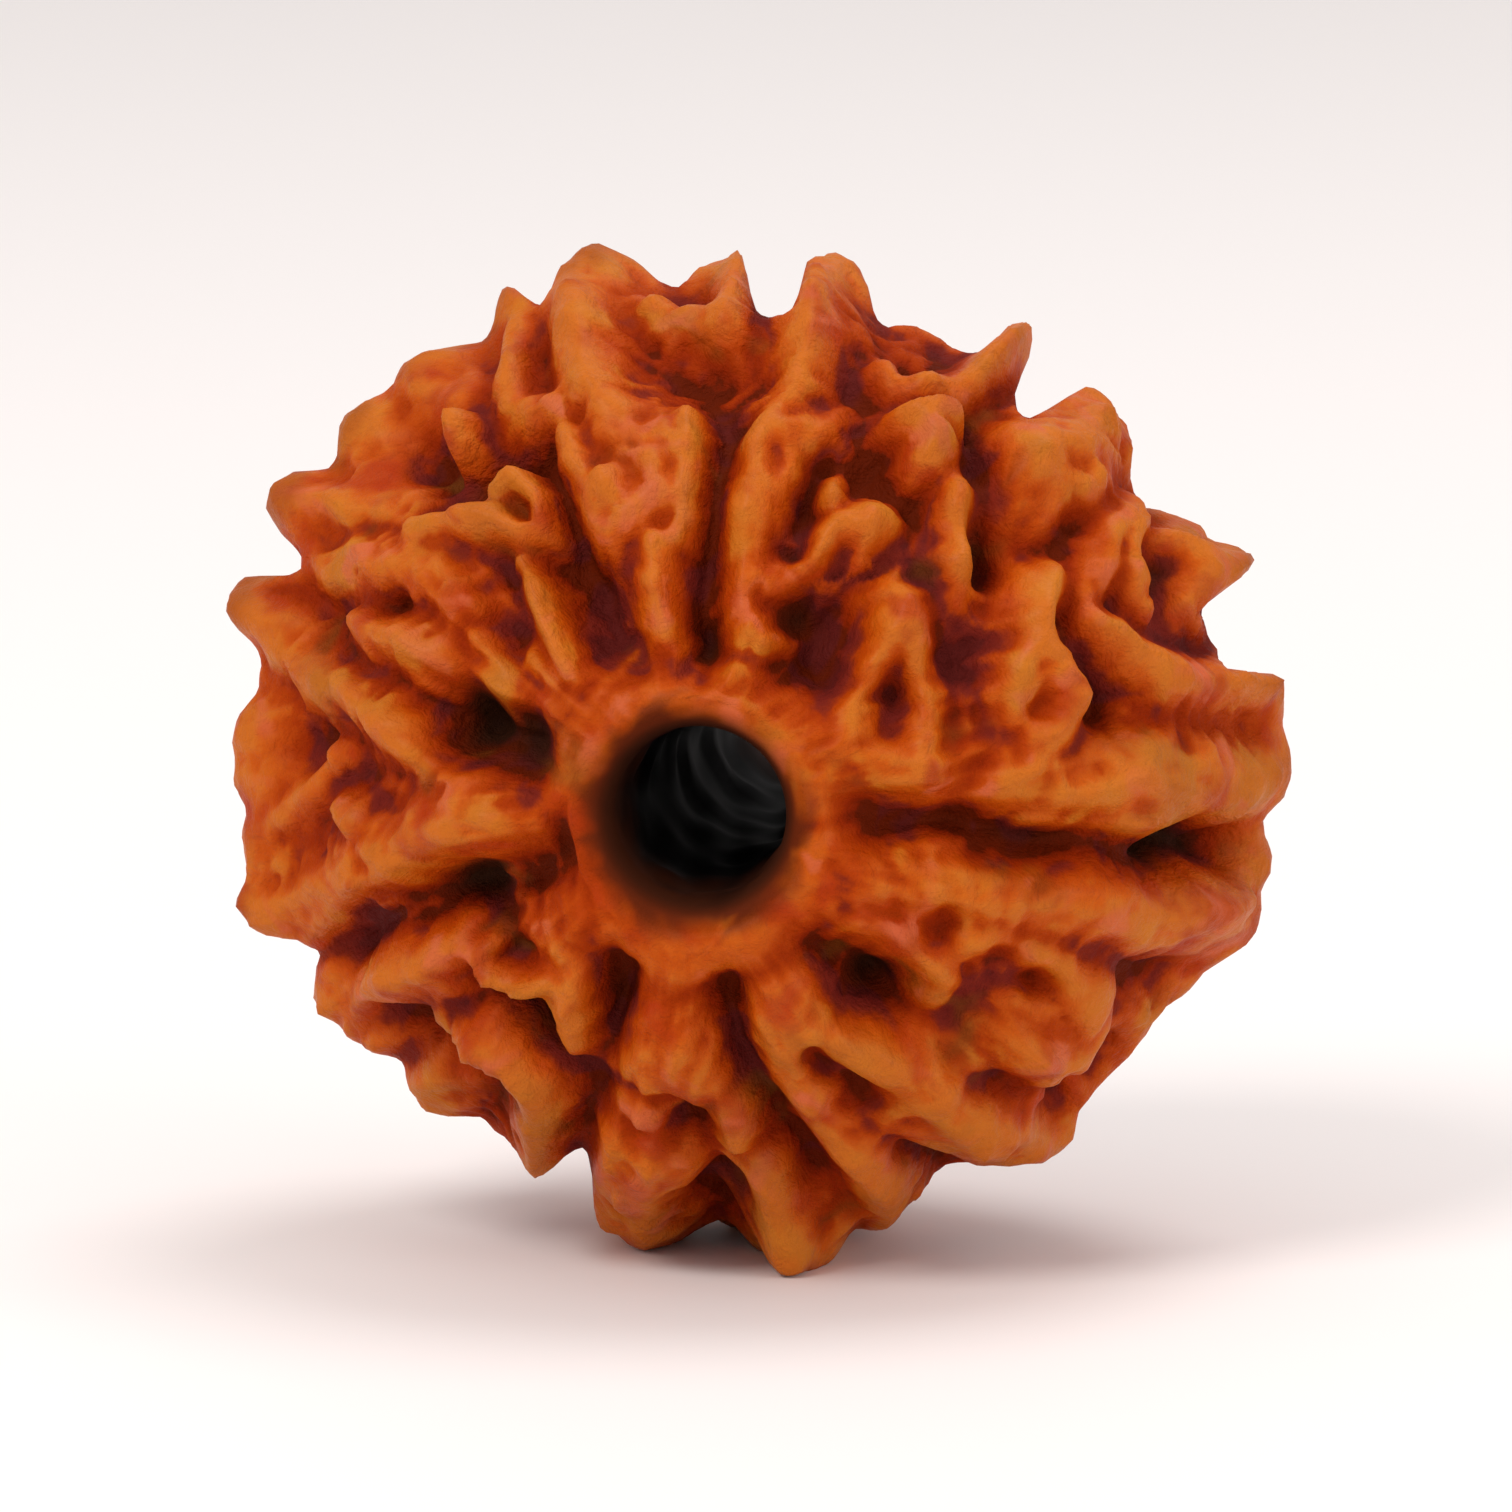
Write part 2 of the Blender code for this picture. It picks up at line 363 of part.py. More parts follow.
def back_relief(rng):
    """Crests and grooves of the hidden half, in the manner of the front half."""
    seams = [88.0, 117.0, 158.0, 204.0, 247.0, 283.0, 314.0, 353.0, 396.0, 414.0, 448.0]
    crests = []
    hollows = []
    for left, right in zip(seams[:-1], seams[1:]):
        drift = rng.uniform(-3.0, 3.0)
        hollows.append((rng.uniform(0.5, 0.7), rng.uniform(0.7, 1.1),
                        [(left, 12), (left + drift, 30), (left + rng.uniform(-2, 2), 50),
                         (left + drift, 68)]))
        lanes = max(2, int(round((right - left) / 13.0)))
        for lane in range(lanes):
            bearing = left + (right - left) * (lane + 0.5) / lanes
            latitude = rng.uniform(4.0, 13.0)
            while latitude < 66.0:
                length = rng.uniform(9.0, 20.0)
                turn = rng.uniform(-5.0, 5.0)
                rise = 0.55 * np.cos(np.radians(latitude)) + rng.uniform(-0.3, 0.3)
                middle = latitude + 0.5 * length
                crests.append((rng.uniform(0.7, 1.25),
                               [(bearing - 0.5 * turn, latitude, rise - 0.2),
                                (bearing + rng.uniform(-2, 2), middle, rise),
                                (bearing + 0.5 * turn, latitude + length, rise - 0.3)]))
                if rng.random() < 0.45:
                    side = bearing + rng.choice([-1.0, 1.0]) * (right - left) / lanes * 0.8
                    crests.append((0.6, [(bearing, middle, rise - 0.2),
                                         (side, middle + rng.uniform(-4, 4), rise - 0.5)]))
                if rng.random() < 0.35:
                    hollows.append((rng.uniform(0.5, 0.8), rng.uniform(0.5, 1.1),
                                    [(bearing + 0.5 * turn, latitude + length + 2.0),
                                     (bearing + turn, latitude + length + 4.0)]))
                latitude += length + rng.uniform(4.0, 9.0)
    return crests, hollows


def rim_crests(rng):
    """Short crests along the rim seen from the front, as high as the hand-read outline."""
    crests = []
    for start in range(0, 360, RIM_PIECE):
        bearing = np.arange(start, start + RIM_PIECE + 1.0)
        turn = np.radians(bearing)
        latitude = OUTLINE_AZIMUTH * np.cos(turn) + OUTLINE_ELEVATION * np.sin(turn)
        height = outline_reach(bearing) - EQUATOR_RADIUS
        crests.append((rng.uniform(1.1, 2.1), list(zip(bearing, latitude, height))))
    return crests


def outline_reach(bearing):
    """Hand-read reach at any bearing."""
    table = np.array(OUTLINE)
    angles = np.concatenate([table[-1:, 0] - 360.0, table[:, 0], table[:1, 0] + 360.0])
    reaches = np.concatenate([table[-1:, 1], table[:, 1], table[:1, 1]])
    return np.interp(np.mod(bearing, 360.0), angles, reaches)


def keep_to_outline(points, normals, height):
    """Soft limit on the height, so that nothing shows past the outline from where it was read."""
    turn = np.radians(OUTLINE_AZIMUTH)
    tilt = np.radians(OUTLINE_ELEVATION)
    right = np.array([np.cos(turn), np.sin(turn), 0.0])
    up = np.array([-np.sin(turn) * np.sin(tilt), np.cos(turn) * np.sin(tilt), np.cos(tilt)])
    across = points @ right
    rise = points @ up
    spread = np.hypot(across, rise)
    bearing = np.degrees(np.arctan2(rise, across))
    lean = (normals @ right * across + normals @ up * rise) / np.maximum(spread, 1e-6)
    limit = (outline_reach(bearing) - spread) / np.clip(lean, 0.15, 1.0)
    over = (height - limit) / OUTLINE_SOFTNESS
    return height - OUTLINE_SOFTNESS * np.logaddexp(0.0, over)


def wave_sum(points, rng, shortest, longest, count):
    """Sum of waves in all directions, of about unit strength."""
    total = np.zeros(points.shape[0])
    for _ in range(count):
        direction = rng.normal(size=3)
        direction /= np.linalg.norm(direction)
        length = rng.uniform(shortest, longest)
        total += np.sin(points @ direction * 2.0 * np.pi / length + rng.uniform(0.0, 6.28))
    return total / np.sqrt(0.5 * count)


def bead_points():
    """Corners of the sheet as an array of bearings by stations by three, in metres."""
    rng = np.random.default_rng(SEED)
    radius, along, latitude, outside = meridian()
    normal_radius, normal_along = meridian_normals(radius, along)
    turn = np.linspace(0.0, 2.0 * np.pi, BEARING_STEPS, endpoint=False)[:, None]
    shape = (BEARING_STEPS, len(radius), 3)
    body = np.stack([radius * np.cos(turn), along + 0.0 * turn, radius * np.sin(turn)], axis=-1)
    normals = np.stack([normal_radius * np.cos(turn), normal_along + 0.0 * turn,
                        normal_radius * np.sin(turn)], axis=-1)
    points = body.reshape(-1, 3)
    normals = normals.reshape(-1, 3)
    steep = np.tile(np.abs(latitude), BEARING_STEPS)
    share = np.tile(outside, BEARING_STEPS)

    collar = np.clip((steep - COLLAR_START) / (COLLAR_END - COLLAR_START), 0.0, 1.0)
    collar = collar ** 2 * (3.0 - 2.0 * collar)
    floor = FLOOR_LEVEL + (COLLAR_LEVEL - FLOOR_LEVEL) * collar
    back_crests, back_hollows = back_relief(rng)
    crests = FRONT_CRESTS + REST_CRESTS + back_crests + rim_crests(rng)
    height = raise_crests(points, floor, crests)
    height -= hollow_cut(points, FRONT_HOLLOWS + back_hollows)
    height += UNDULATION * wave_sum(points, rng, 2.6, 6.0, 12) * (1.0 - COLLAR_CALM * collar)
    height = keep_to_outline(points, normals, height)
    points = points + normals * (height * share)[:, None]
    points[:, 2] = np.maximum(points[:, 2] + STANDING_HEIGHT, 0.0)
    return points.reshape(shape) * MM


def bead_object():
    """The bead as one closed mesh, thinned to the triangle budget, with level resting spots."""
    points = bead_points()
    rows, columns = points.shape[:2]
    corner = np.arange(rows * columns).reshape(rows, columns)
    ahead = np.roll(corner, -1, axis=0)
    quads = np.stack([corner, np.roll(corner, -1, axis=1), np.roll(ahead, -1, axis=1), ahead],
                     axis=-1).reshape(-1, 4)
    mesh = bpy.data.meshes.new("bead")
    mesh.from_pydata(points.reshape(-1, 3).tolist(), [], quads.tolist())
    sheet = bmesh.new()
    sheet.from_mesh(mesh)
    bmesh.ops.triangulate(sheet, faces=sheet.faces[:])
    if sheet.calc_volume(signed=True) < 0.0:
        bmesh.ops.reverse_faces(sheet, faces=sheet.faces[:])
    sheet.to_mesh(mesh)
    count = len(sheet.faces)
    sheet.free()
    bead = bpy.data.objects.new("bead", mesh)
    bpy.context.scene.collection.objects.link(bead)
    thin = bead.modifiers.new("thin", "DECIMATE")
    thin.decimate_type = "COLLAPSE"
    thin.ratio = TRIANGLES / count
    thinned = bpy.data.meshes.new_from_object(
        bead.evaluated_get(bpy.context.evaluated_depsgraph_get()))
    bead.modifiers.remove(thin)
    bead.data = thinned
    for vertex in thinned.vertices:
        if vertex.co.z < RESTING_BAND:
            vertex.co.z = 0.0
    return bead


def shell_material():
    """Dry orange-brown shell."""
    material = bpy.data.materials.new("shell")
    material.use_nodes = True
    surface = material.node_tree.nodes["Principled BSDF"]
    surface.inputs["Base Color"].default_value = (0.52, 0.13, 0.02, 1.0)
    surface.inputs["Roughness"].default_value = 0.5
    surface.inputs["Metallic"].default_value = 0.0
    return material


for left_over in list(bpy.data.objects):
    bpy.data.objects.remove(left_over, do_unlink=True)

bead_object().data.materials.append(shell_material())
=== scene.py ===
import math

import bpy
import numpy as np
from mathutils import Matrix, Vector


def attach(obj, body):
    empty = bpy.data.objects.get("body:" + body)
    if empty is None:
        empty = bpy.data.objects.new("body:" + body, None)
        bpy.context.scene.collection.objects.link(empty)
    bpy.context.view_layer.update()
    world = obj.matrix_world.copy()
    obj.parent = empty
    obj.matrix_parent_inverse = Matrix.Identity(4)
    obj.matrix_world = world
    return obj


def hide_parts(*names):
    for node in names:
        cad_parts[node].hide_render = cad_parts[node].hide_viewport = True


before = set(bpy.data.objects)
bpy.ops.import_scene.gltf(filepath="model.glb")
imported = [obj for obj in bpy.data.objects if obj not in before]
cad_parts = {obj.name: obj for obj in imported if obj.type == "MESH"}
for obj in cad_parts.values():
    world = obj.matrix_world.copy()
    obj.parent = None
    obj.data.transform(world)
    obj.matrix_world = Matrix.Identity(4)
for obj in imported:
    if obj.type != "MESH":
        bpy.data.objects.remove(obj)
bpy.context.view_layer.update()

mm = 0.001
anyPhase = (0.0, 6.28)

# the form of the bead, in millimetres and degrees: a bearing turns round the hole, and latitude
# goes from the front mouth (minus) over the rim (0) to the back mouth (plus)
beadForm = {
    "equatorRadius": 13.6,
    "poleRadius": 11.0,
    "mouthLatitude": 75.0,
    "mouthDepth": 1.5,
    "frontBore": 2.35,
    "backBore": 1.85,
    "standingHeight": 13.75,   # of the middle over the ground
    "floorLevel": -1.25,       # grooves between the crests
    "collarLevel": -0.05,      # smooth lip round the hole
    "collarStart": 66.0,
    "collarEnd": 72.0,
    "collarCalm": 0.5,         # share of the undulation that the collar loses
    "crestSpread": 1.12,
    "crestSharpness": 1.7,
    "unionPower": 6.0,
    "hollowWobble": 0.15,
    "wobbleLengths": (2.5, 5.0),
    "hollowDepth": (0.95, 0.2),   # mean and swing of the factor on the listed depths
    "depthLengths": (3.0, 6.0),
    "depthWaves": 8,
    "hollowSeed": 5,
    "undulation": 0.1,
    "undulationLengths": (2.6, 6.0),
    "undulationWaves": 12,
    "outlineAzimuth": 9.5,     # where the outline was read from
    "outlineElevation": 9.0,
    "outlineSoftness": 0.08,
    "leastLean": 0.15,         # the surface counts as leaning to the outline by at least this
    "rimPiece": 10,            # degrees of the rim that one crest takes in
    "rimWidths": (1.1, 2.1),
    "seed": 11,
    "bearings": 446,
    "outsideStations": 180,
    "mouthStations": 8,
    "boreStations": 30,
}

# how far the outline reaches from the middle at each bearing round it
outline = [
    (3.9, 14.7), (6.3, 14.9), (9.2, 15.1), (10.0, 14.0), (10.8, 13.2), (13.4, 13.1),
    (16.3, 13.0), (18.6, 12.95), (19.4, 13.4), (20.2, 14.1), (21.0, 14.7), (22.0, 14.95),
    (23.3, 14.9), (24.4, 14.7), (26.2, 14.3), (28.4, 13.9), (32.0, 13.35), (35.5, 12.95),
    (37.3, 13.1), (40.2, 13.75), (43.8, 14.15), (46.4, 14.2), (48.0, 14.1), (48.9, 13.7),
    (49.8, 12.9), (51.6, 11.95), (53.4, 12.0), (54.8, 12.4), (55.8, 13.5), (57.1, 14.3),
    (59.0, 14.4), (60.0, 14.0), (60.8, 13.0), (62.4, 12.7), (65.1, 12.7), (67.7, 12.85),
    (70.0, 12.9), (73.3, 12.6), (75.0, 12.8), (76.7, 13.5), (78.5, 14.0), (81.1, 14.4),
    (83.0, 14.5), (84.2, 14.2), (84.9, 12.6), (86.4, 12.3), (89.2, 12.3), (90.6, 12.6),
    (91.2, 13.6), (91.9, 14.25), (93.2, 14.4), (94.3, 14.35), (96.0, 14.1), (97.9, 13.6),
    (99.7, 13.35), (101.8, 13.7), (103.4, 14.3), (105.4, 14.85), (107.5, 15.2),
    (109.1, 15.15), (110.3, 14.9), (111.7, 14.85), (113.7, 14.4), (115.4, 13.95),
    (116.4, 14.3), (117.2, 14.8), (118.2, 15.05), (119.8, 14.85), (122.0, 14.3),
    (124.1, 14.1), (129.3, 14.75), (131.9, 14.9), (135.5, 14.7), (138.0, 14.95),
    (140.0, 15.1), (141.7, 14.95), (144.3, 14.5), (146.0, 14.5), (148.2, 15.3),
    (150.5, 15.6), (153.0, 15.5), (154.6, 15.0), (155.6, 14.0), (157.3, 13.85),
    (158.6, 14.15), (159.5, 14.8), (160.4, 15.3), (162.7, 15.5), (164.5, 15.5),
    (165.7, 15.1), (167.2, 14.5), (169.5, 14.15), (171.7, 14.2), (175.3, 14.6),
    (178.0, 14.75), (182.6, 14.8), (186.5, 14.75), (189.7, 14.6), (191.5, 14.6),
    (193.5, 14.8), (196.0, 15.4), (198.4, 15.35), (199.4, 15.1), (200.4, 14.4),
    (201.6, 13.8), (204.0, 13.4), (205.3, 13.8), (207.1, 14.1), (210.0, 14.4),
    (214.0, 14.4), (217.0, 13.9), (219.3, 13.35), (221.0, 13.2), (223.6, 13.5),
    (226.6, 13.7), (229.0, 13.3), (232.4, 12.7), (236.2, 12.7), (238.4, 12.9),
    (240.5, 13.2), (242.2, 13.3), (243.3, 12.9), (244.4, 12.2), (245.6, 11.9),
    (247.2, 12.05), (248.4, 12.5), (250.1, 13.5), (251.7, 14.05), (253.4, 14.25),
    (256.9, 14.2), (259.8, 13.9), (262.3, 13.6), (266.2, 13.5), (268.8, 13.7),
    (271.1, 14.1), (273.2, 14.4), (276.0, 14.4), (278.3, 14.25), (280.0, 13.9),
    (281.4, 13.5), (286.2, 13.7), (288.9, 13.5), (290.8, 12.95), (292.5, 12.6),
    (294.6, 12.5), (298.2, 12.9), (301.5, 13.3), (305.6, 13.9), (307.6, 14.0),
    (310.0, 13.8), (312.9, 13.35), (316.0, 13.25), (321.0, 13.4), (325.7, 13.3),
    (328.5, 13.4), (330.8, 13.7), (334.4, 13.9), (336.5, 14.2), (338.8, 14.6),
    (341.6, 15.0), (344.2, 15.05), (348.5, 14.7), (351.2, 14.5), (352.8, 14.3),
    (354.2, 14.45), (355.5, 14.8), (358.2, 15.0),
]

# crests of the front half: half-width, then bearing, latitude and height over the mean body
frontCrests = [
    (1.1, [(110.5, 0, 1.2), (110.5, -10, 0.8), (110, -20, 0.5), (109, -28, 0.4),
           (106.5, -35, 0.2), (106, -43, 0.0), (107, -48, 0.0)]),
    (0.9, [(103, -8, 0.2), (98, -13, 0.0), (93, -15, 0.0)]),
    (0.6, [(92.5, 4, 0.8), (92, -8, 0.4), (91.5, -17, 0.0)]),
    (0.9, [(83, 4, 0.9), (82, -8, 0.7), (81, -16, 0.5), (80, -24, 0.3), (80.5, -31, 0.1)]),
    (0.75, [(83.5, -33, 0.2), (83.7, -40, 0.3), (83.2, -47, 0.3), (82.2, -54, 0.2),
            (80.5, -61, 0.2), (78.5, -67, 0.1)]),
    (0.9, [(78, -36, -0.3), (77.5, -46, -0.3), (76, -52, -0.5)]),
    (0.65, [(100, -68, 0.1), (100.5, -62, 0.2), (100, -56, 0.3)]),
    (1.3, [(103.5, -50, 0.2), (98.5, -49, 0.3), (98, -42, 0.2)]),
    (0.5, [(94.8, -37, 0.3), (94.2, -43, 0.4), (94.5, -50, 0.3), (96, -55, 0.2)]),
    (0.6, [(108, -46, 0.3), (106.5, -52, 0.2)]),
    (0.6, [(116.5, -24, -0.1), (114.5, -32, 0.1), (113, -39, 0.2), (112.3, -46, 0.1),
           (112, -53, -0.1)]),
    (0.7, [(118.5, 4, 1.3), (119, -6, 0.8), (119.5, -14, 0.5), (119.5, -21, 0.3),
           (118.5, -27, 0.1)]),
    (0.5, [(128.5, -21.5, 0.4), (129.5, -24.5, 0.4)]),
    (1.2, [(130, 2, 1.2), (132, -3, 1.0), (129, -9, 0.3)]),
    (0.9, [(140, 3, 1.4), (141.5, -6, 1.0), (143.5, -13, 0.5)]),
    (1.1, [(151.5, 2, 1.8), (149.5, -8, 1.3), (147, -14, 0.6), (143, -20, 0.2),
           (138.5, -26, 0.0)]),
    (0.5, [(126.5, -38, 0.2), (122.5, -38.5, 0.3), (120.5, -43, 0.2), (122, -48, 0.2),
           (126.5, -46.5, 0.2), (130, -42, 0.2)]),
    (0.7, [(130, -41.5, 0.3), (134, -38, 0.2), (138, -34, 0.2), (141, -31.5, 0.0)]),
    (1.2, [(156.5, -4, 0.3), (153.5, -18, 0.3), (149, -28, 0.2), (144.5, -35, 0.1),
           (141.5, -42, -0.1), (141, -48, -0.3)]),
    (1.0, [(162.5, -2, 1.9), (165, -10, 1.3), (167, -20, 0.5), (168, -28, 0.2)]),
    (0.85, [(157, -28, -0.2), (157, -37, 0.1), (153.5, -45, 0.2), (153, -52, 0.2),
            (152, -58, 0.2), (149.5, -63, 0.1), (145, -68, 0.1)]),
    (0.45, [(129, -49.5, 0.1), (129.5, -56, 0.3), (131, -61.5, 0.3), (132.5, -67.5, 0.2)]),
    (0.6, [(145, -54, 0.0), (147, -59, 0.0)]),
    (0.6, [(141, -61, 0.0), (139, -66, 0.0)]),
    (0.8, [(166, -34, 0.0), (166.5, -41, 0.1), (168.5, -47, 0.3), (171.5, -53, 0.2),
           (174.5, -59, 0.3), (176, -65, 0.2), (176, -70, 0.1)]),
    (1.4, [(192, -46, 0.2), (189.5, -52, 0.4), (186.5, -57, 0.5), (184, -61, 0.5),
           (180, -66, 0.3), (175, -71, 0.1)]),
    (0.7, [(185.5, -40, 0.0), (184, -35, -0.1)]),
    (0.7, [(177, -33, -0.2), (182, -27, 0.0), (186.5, -18, 0.3), (189.5, -9, 0.7)]),
    (1.4, [(196.5, -5, 1.7), (198, -14, 0.9), (197.5, -22, 0.5), (196, -30, 0.3),
           (194.5, -37, 0.2)]),
    (1.0, [(211, -20, 0.1), (209.5, -28, 0.2), (210, -37, 0.3), (211, -45, 0.3),
           (210, -51, 0.0)]),
    (0.5, [(213.5, -56, 0.0), (215, -53, 0.1), (219.5, -53.5, 0.2), (224, -56, 0.2),
           (228.5, -60, 0.1)]),
    (1.0, [(219.5, -63, 0.1), (223, -66, 0.2), (219, -71, 0.1)]),
    (1.4, [(211, 2, 0.9), (212, -8, 0.8), (215, -14, 0.3)]),
    (0.9, [(222.5, -38, -0.2), (227.5, -42, 0.0), (233, -44.5, 0.1), (238.5, -44, 0.3),
           (241.5, -40, 0.5), (243.5, -33, 0.6), (244, -26, 0.5), (243.6, -19, 0.2),
           (243.2, -12, -0.2)]),
    (1.2, [(226, -10, 0.2), (226, -24, -0.2)]),
    (1.1, [(230, -70, 0.1), (234, -64, 0.2), (237.5, -59, 0.2), (239.5, -55.5, 0.1)]),
    (1.5, [(261, -69, 0.1), (261.5, -62, 0.2), (259.5, -56, 0.1)]),
    (1.0, [(267.5, -60, 0.1), (268.5, -54.5, 0.0)]),
    (0.8, [(257, -47.5, 0.2), (260, -47, 0.1)]),
    (0.9, [(275, -48, 0.1), (273.5, -44, 0.1)]),
    (1.6, [(257, -5, 0.6), (256.5, -18, 0.3), (256, -28, 0.3), (256.5, -37, 0.3)]),
    (1.0, [(262, -38, 0.1), (264, -33, -0.1)]),
    (0.5, [(276.5, -38, 0.0), (275, -32, 0.3), (275, -26, 0.4), (276, -19, 0.4)]),
    (1.5, [(277, -21, 1.3), (277.5, -15, 1.1), (279, -8, 0.6)]),
    (1.0, [(288.5, -44, 0.0), (290, -38, 0.3), (291, -30, 0.4), (289.5, -20, 0.5),
           (287, -10, 0.3)]),
    (0.9, [(293, -72, 0.1), (289.5, -66, 0.2), (287, -60, 0.2), (286, -54, 0.1),
           (288.5, -49, 0.1)]),
    (0.9, [(298, -67, 0.1), (297, -60, 0.2), (300, -57, 0.2), (303.5, -52, 0.2),
           (304.5, -48, 0.1)]),
    (1.5, [(306, -46, 0.2), (307, -39, 0.3), (307, -31, 0.4), (308, -22, 0.5),
           (307, -12, 0.4), (306, -3, 0.3)]),
    (0.9, [(327, -59, 0.2), (325, -55, 0.3), (321.5, -51.5, 0.2)]),
    (0.8, [(322, -71, 0.1), (326, -66, 0.1), (329.5, -61, 0.2)]),
    (0.75, [(334, -53, 0.1), (336, -50, 0.2), (335, -45, 0.3), (334, -40, 0.3),
            (333, -35, 0.2)]),
    (1.5, [(330, -30, 0.2), (325, -27, 0.3), (323, -36, 0.3)]),
    (0.8, [(320.5, -34, 0.5), (318.5, -27, 0.2)]),
    (1.5, [(336, -71, 0.1), (339, -66, 0.2), (342, -60, 0.2), (344, -53, 0.2),
           (345.5, -46, 0.2), (346, -39, 0.3), (345, -31, 0.3), (344.5, -23, 0.5),
           (345, -13, 0.8), (345, -3, 1.2)]),
    (1.6, [(3.5, -49, 0.2), (1.5, -43, 0.3), (1.5, -36, 0.3), (2, -29, 0.4), (1, -21, 0.3),
           (0, -10, 0.7), (-1, 0, 1.1)]),
    (0.5, [(-2.5, -48, 0.3), (-3.2, -38, 0.3), (-3.2, -29, 0.3)]),
    (0.9, [(14, -22, 0.1), (12.5, -16, 0.4), (11, -8, 0.8), (9.5, 2, 1.3)]),
    (0.8, [(22.5, 5, 1.4), (25, -2, 0.9), (29, -7, 0.5)]),
    (1.2, [(22.5, 4, 1.4), (24, -4, 1.1), (26, -11, 0.8), (27, -17, 0.5)]),
    (0.5, [(33, -10, 0.3), (31.5, -17, 0.2), (26.5, -20.5, 0.2), (24, -19.5, 0.1)]),
    (1.5, [(45.5, 4, 0.7), (45.5, -6, 0.5), (46, -14, 0.5), (46.5, -22, 0.4), (45, -28, 0.1)]),
    (0.8, [(41.5, -10, 0.1), (40.5, -18, 0.2)]),
    (0.55, [(58.5, 4, 0.9), (59.5, -6, 0.6), (60.5, -13, 0.3)]),
    (0.7, [(69, -20, 0.0), (65, -20, 0.1), (61.5, -16.5, 0.1)]),
    (0.55, [(64, -29, 0.4), (61.5, -26.5, 0.5), (59, -24.5, 0.4)]),
    (0.75, [(61.5, -29.5, 0.4), (59, -31, 0.4), (59, -35, 0.2)]),
    (0.8, [(60.5, -45, 0.3), (63, -50, 0.4), (66, -54, 0.3), (69.5, -57, 0.2),
           (73, -60, 0.1)]),
    (0.6, [(69, -45, 0.1), (70, -43, 0.0)]),
    (0.9, [(51, -34.5, 0.3), (50, -39, 0.4), (46.5, -42, 0.3), (43.5, -45, 0.2),
           (42, -49, 0.0)]),
    (0.85, [(34.5, -33, 0.2), (32, -38, 0.4), (28, -41, 0.3), (23, -41, 0.3),
            (18.5, -39, 0.4), (15, -41, 0.2), (12, -45, 0.3), (8, -48, 0.2)]),
    (0.8, [(23, -45, 0.3), (20, -47.5, 0.1)]),
    (0.8, [(26, -31, 0.1), (23, -28.5, 0.3), (20, -26.5, 0.4), (17, -23, 0.4),
           (14.5, -19, 0.3)]),
    (0.9, [(35, -8, 0.2), (34, -16, 0.2), (32.5, -23, 0.2), (30, -29, 0.1)]),
    (0.65, [(46.5, -53, 0.5), (44.5, -57.5, 0.5), (41.5, -62, 0.4), (36, -67, 0.3),
            (28, -71, 0.2)]),
    (0.6, [(46.5, -53, 0.5), (37, -56, 0.4), (28.5, -58, 0.3), (20, -60, 0.3),
           (11, -62.5, 0.2)]),
    (0.9, [(45.5, -53.5, 0.5), (44.5, -55, 0.5)]),
    (1.5, [(12, -61, 0.2), (14, -66, 0.2), (16, -71, 0.1)]),
    (1.0, [(29, -66, 0.0), (29, -71, 0.1)]),
    (0.8, [(76, -65, 0.2), (70, -67, 0.1)]),
]

# low lobes under the weight
restCrests = [
    (1.5, [(258, -7, 0.9), (257.5, 1, 0.9)]),
    (1.4, [(277, -21, 1.5), (277.5, -15, 1.2)]),
    (0.9, [(277, -35, 0.2), (276.5, -28, 0.7), (277, -21, 1.3)]),
    (1.2, [(279, 3, 0.6), (281, 11, 1.4), (281, 18, 1.9), (280, 24, 2.1), (278.5, 32, 1.1),
           (278, 41, 0.5)]),
    (1.2, [(256.5, 4, 0.7), (254.5, 11, 1.2), (253, 19, 2.1), (252, 25, 1.7), (250.5, 33, 0.9),
           (250, 42, 0.4)]),
    (0.9, [(266, 9, 0.5), (267, 16, 0.9), (266, 24, 0.7), (267, 33, 0.4)]),
]

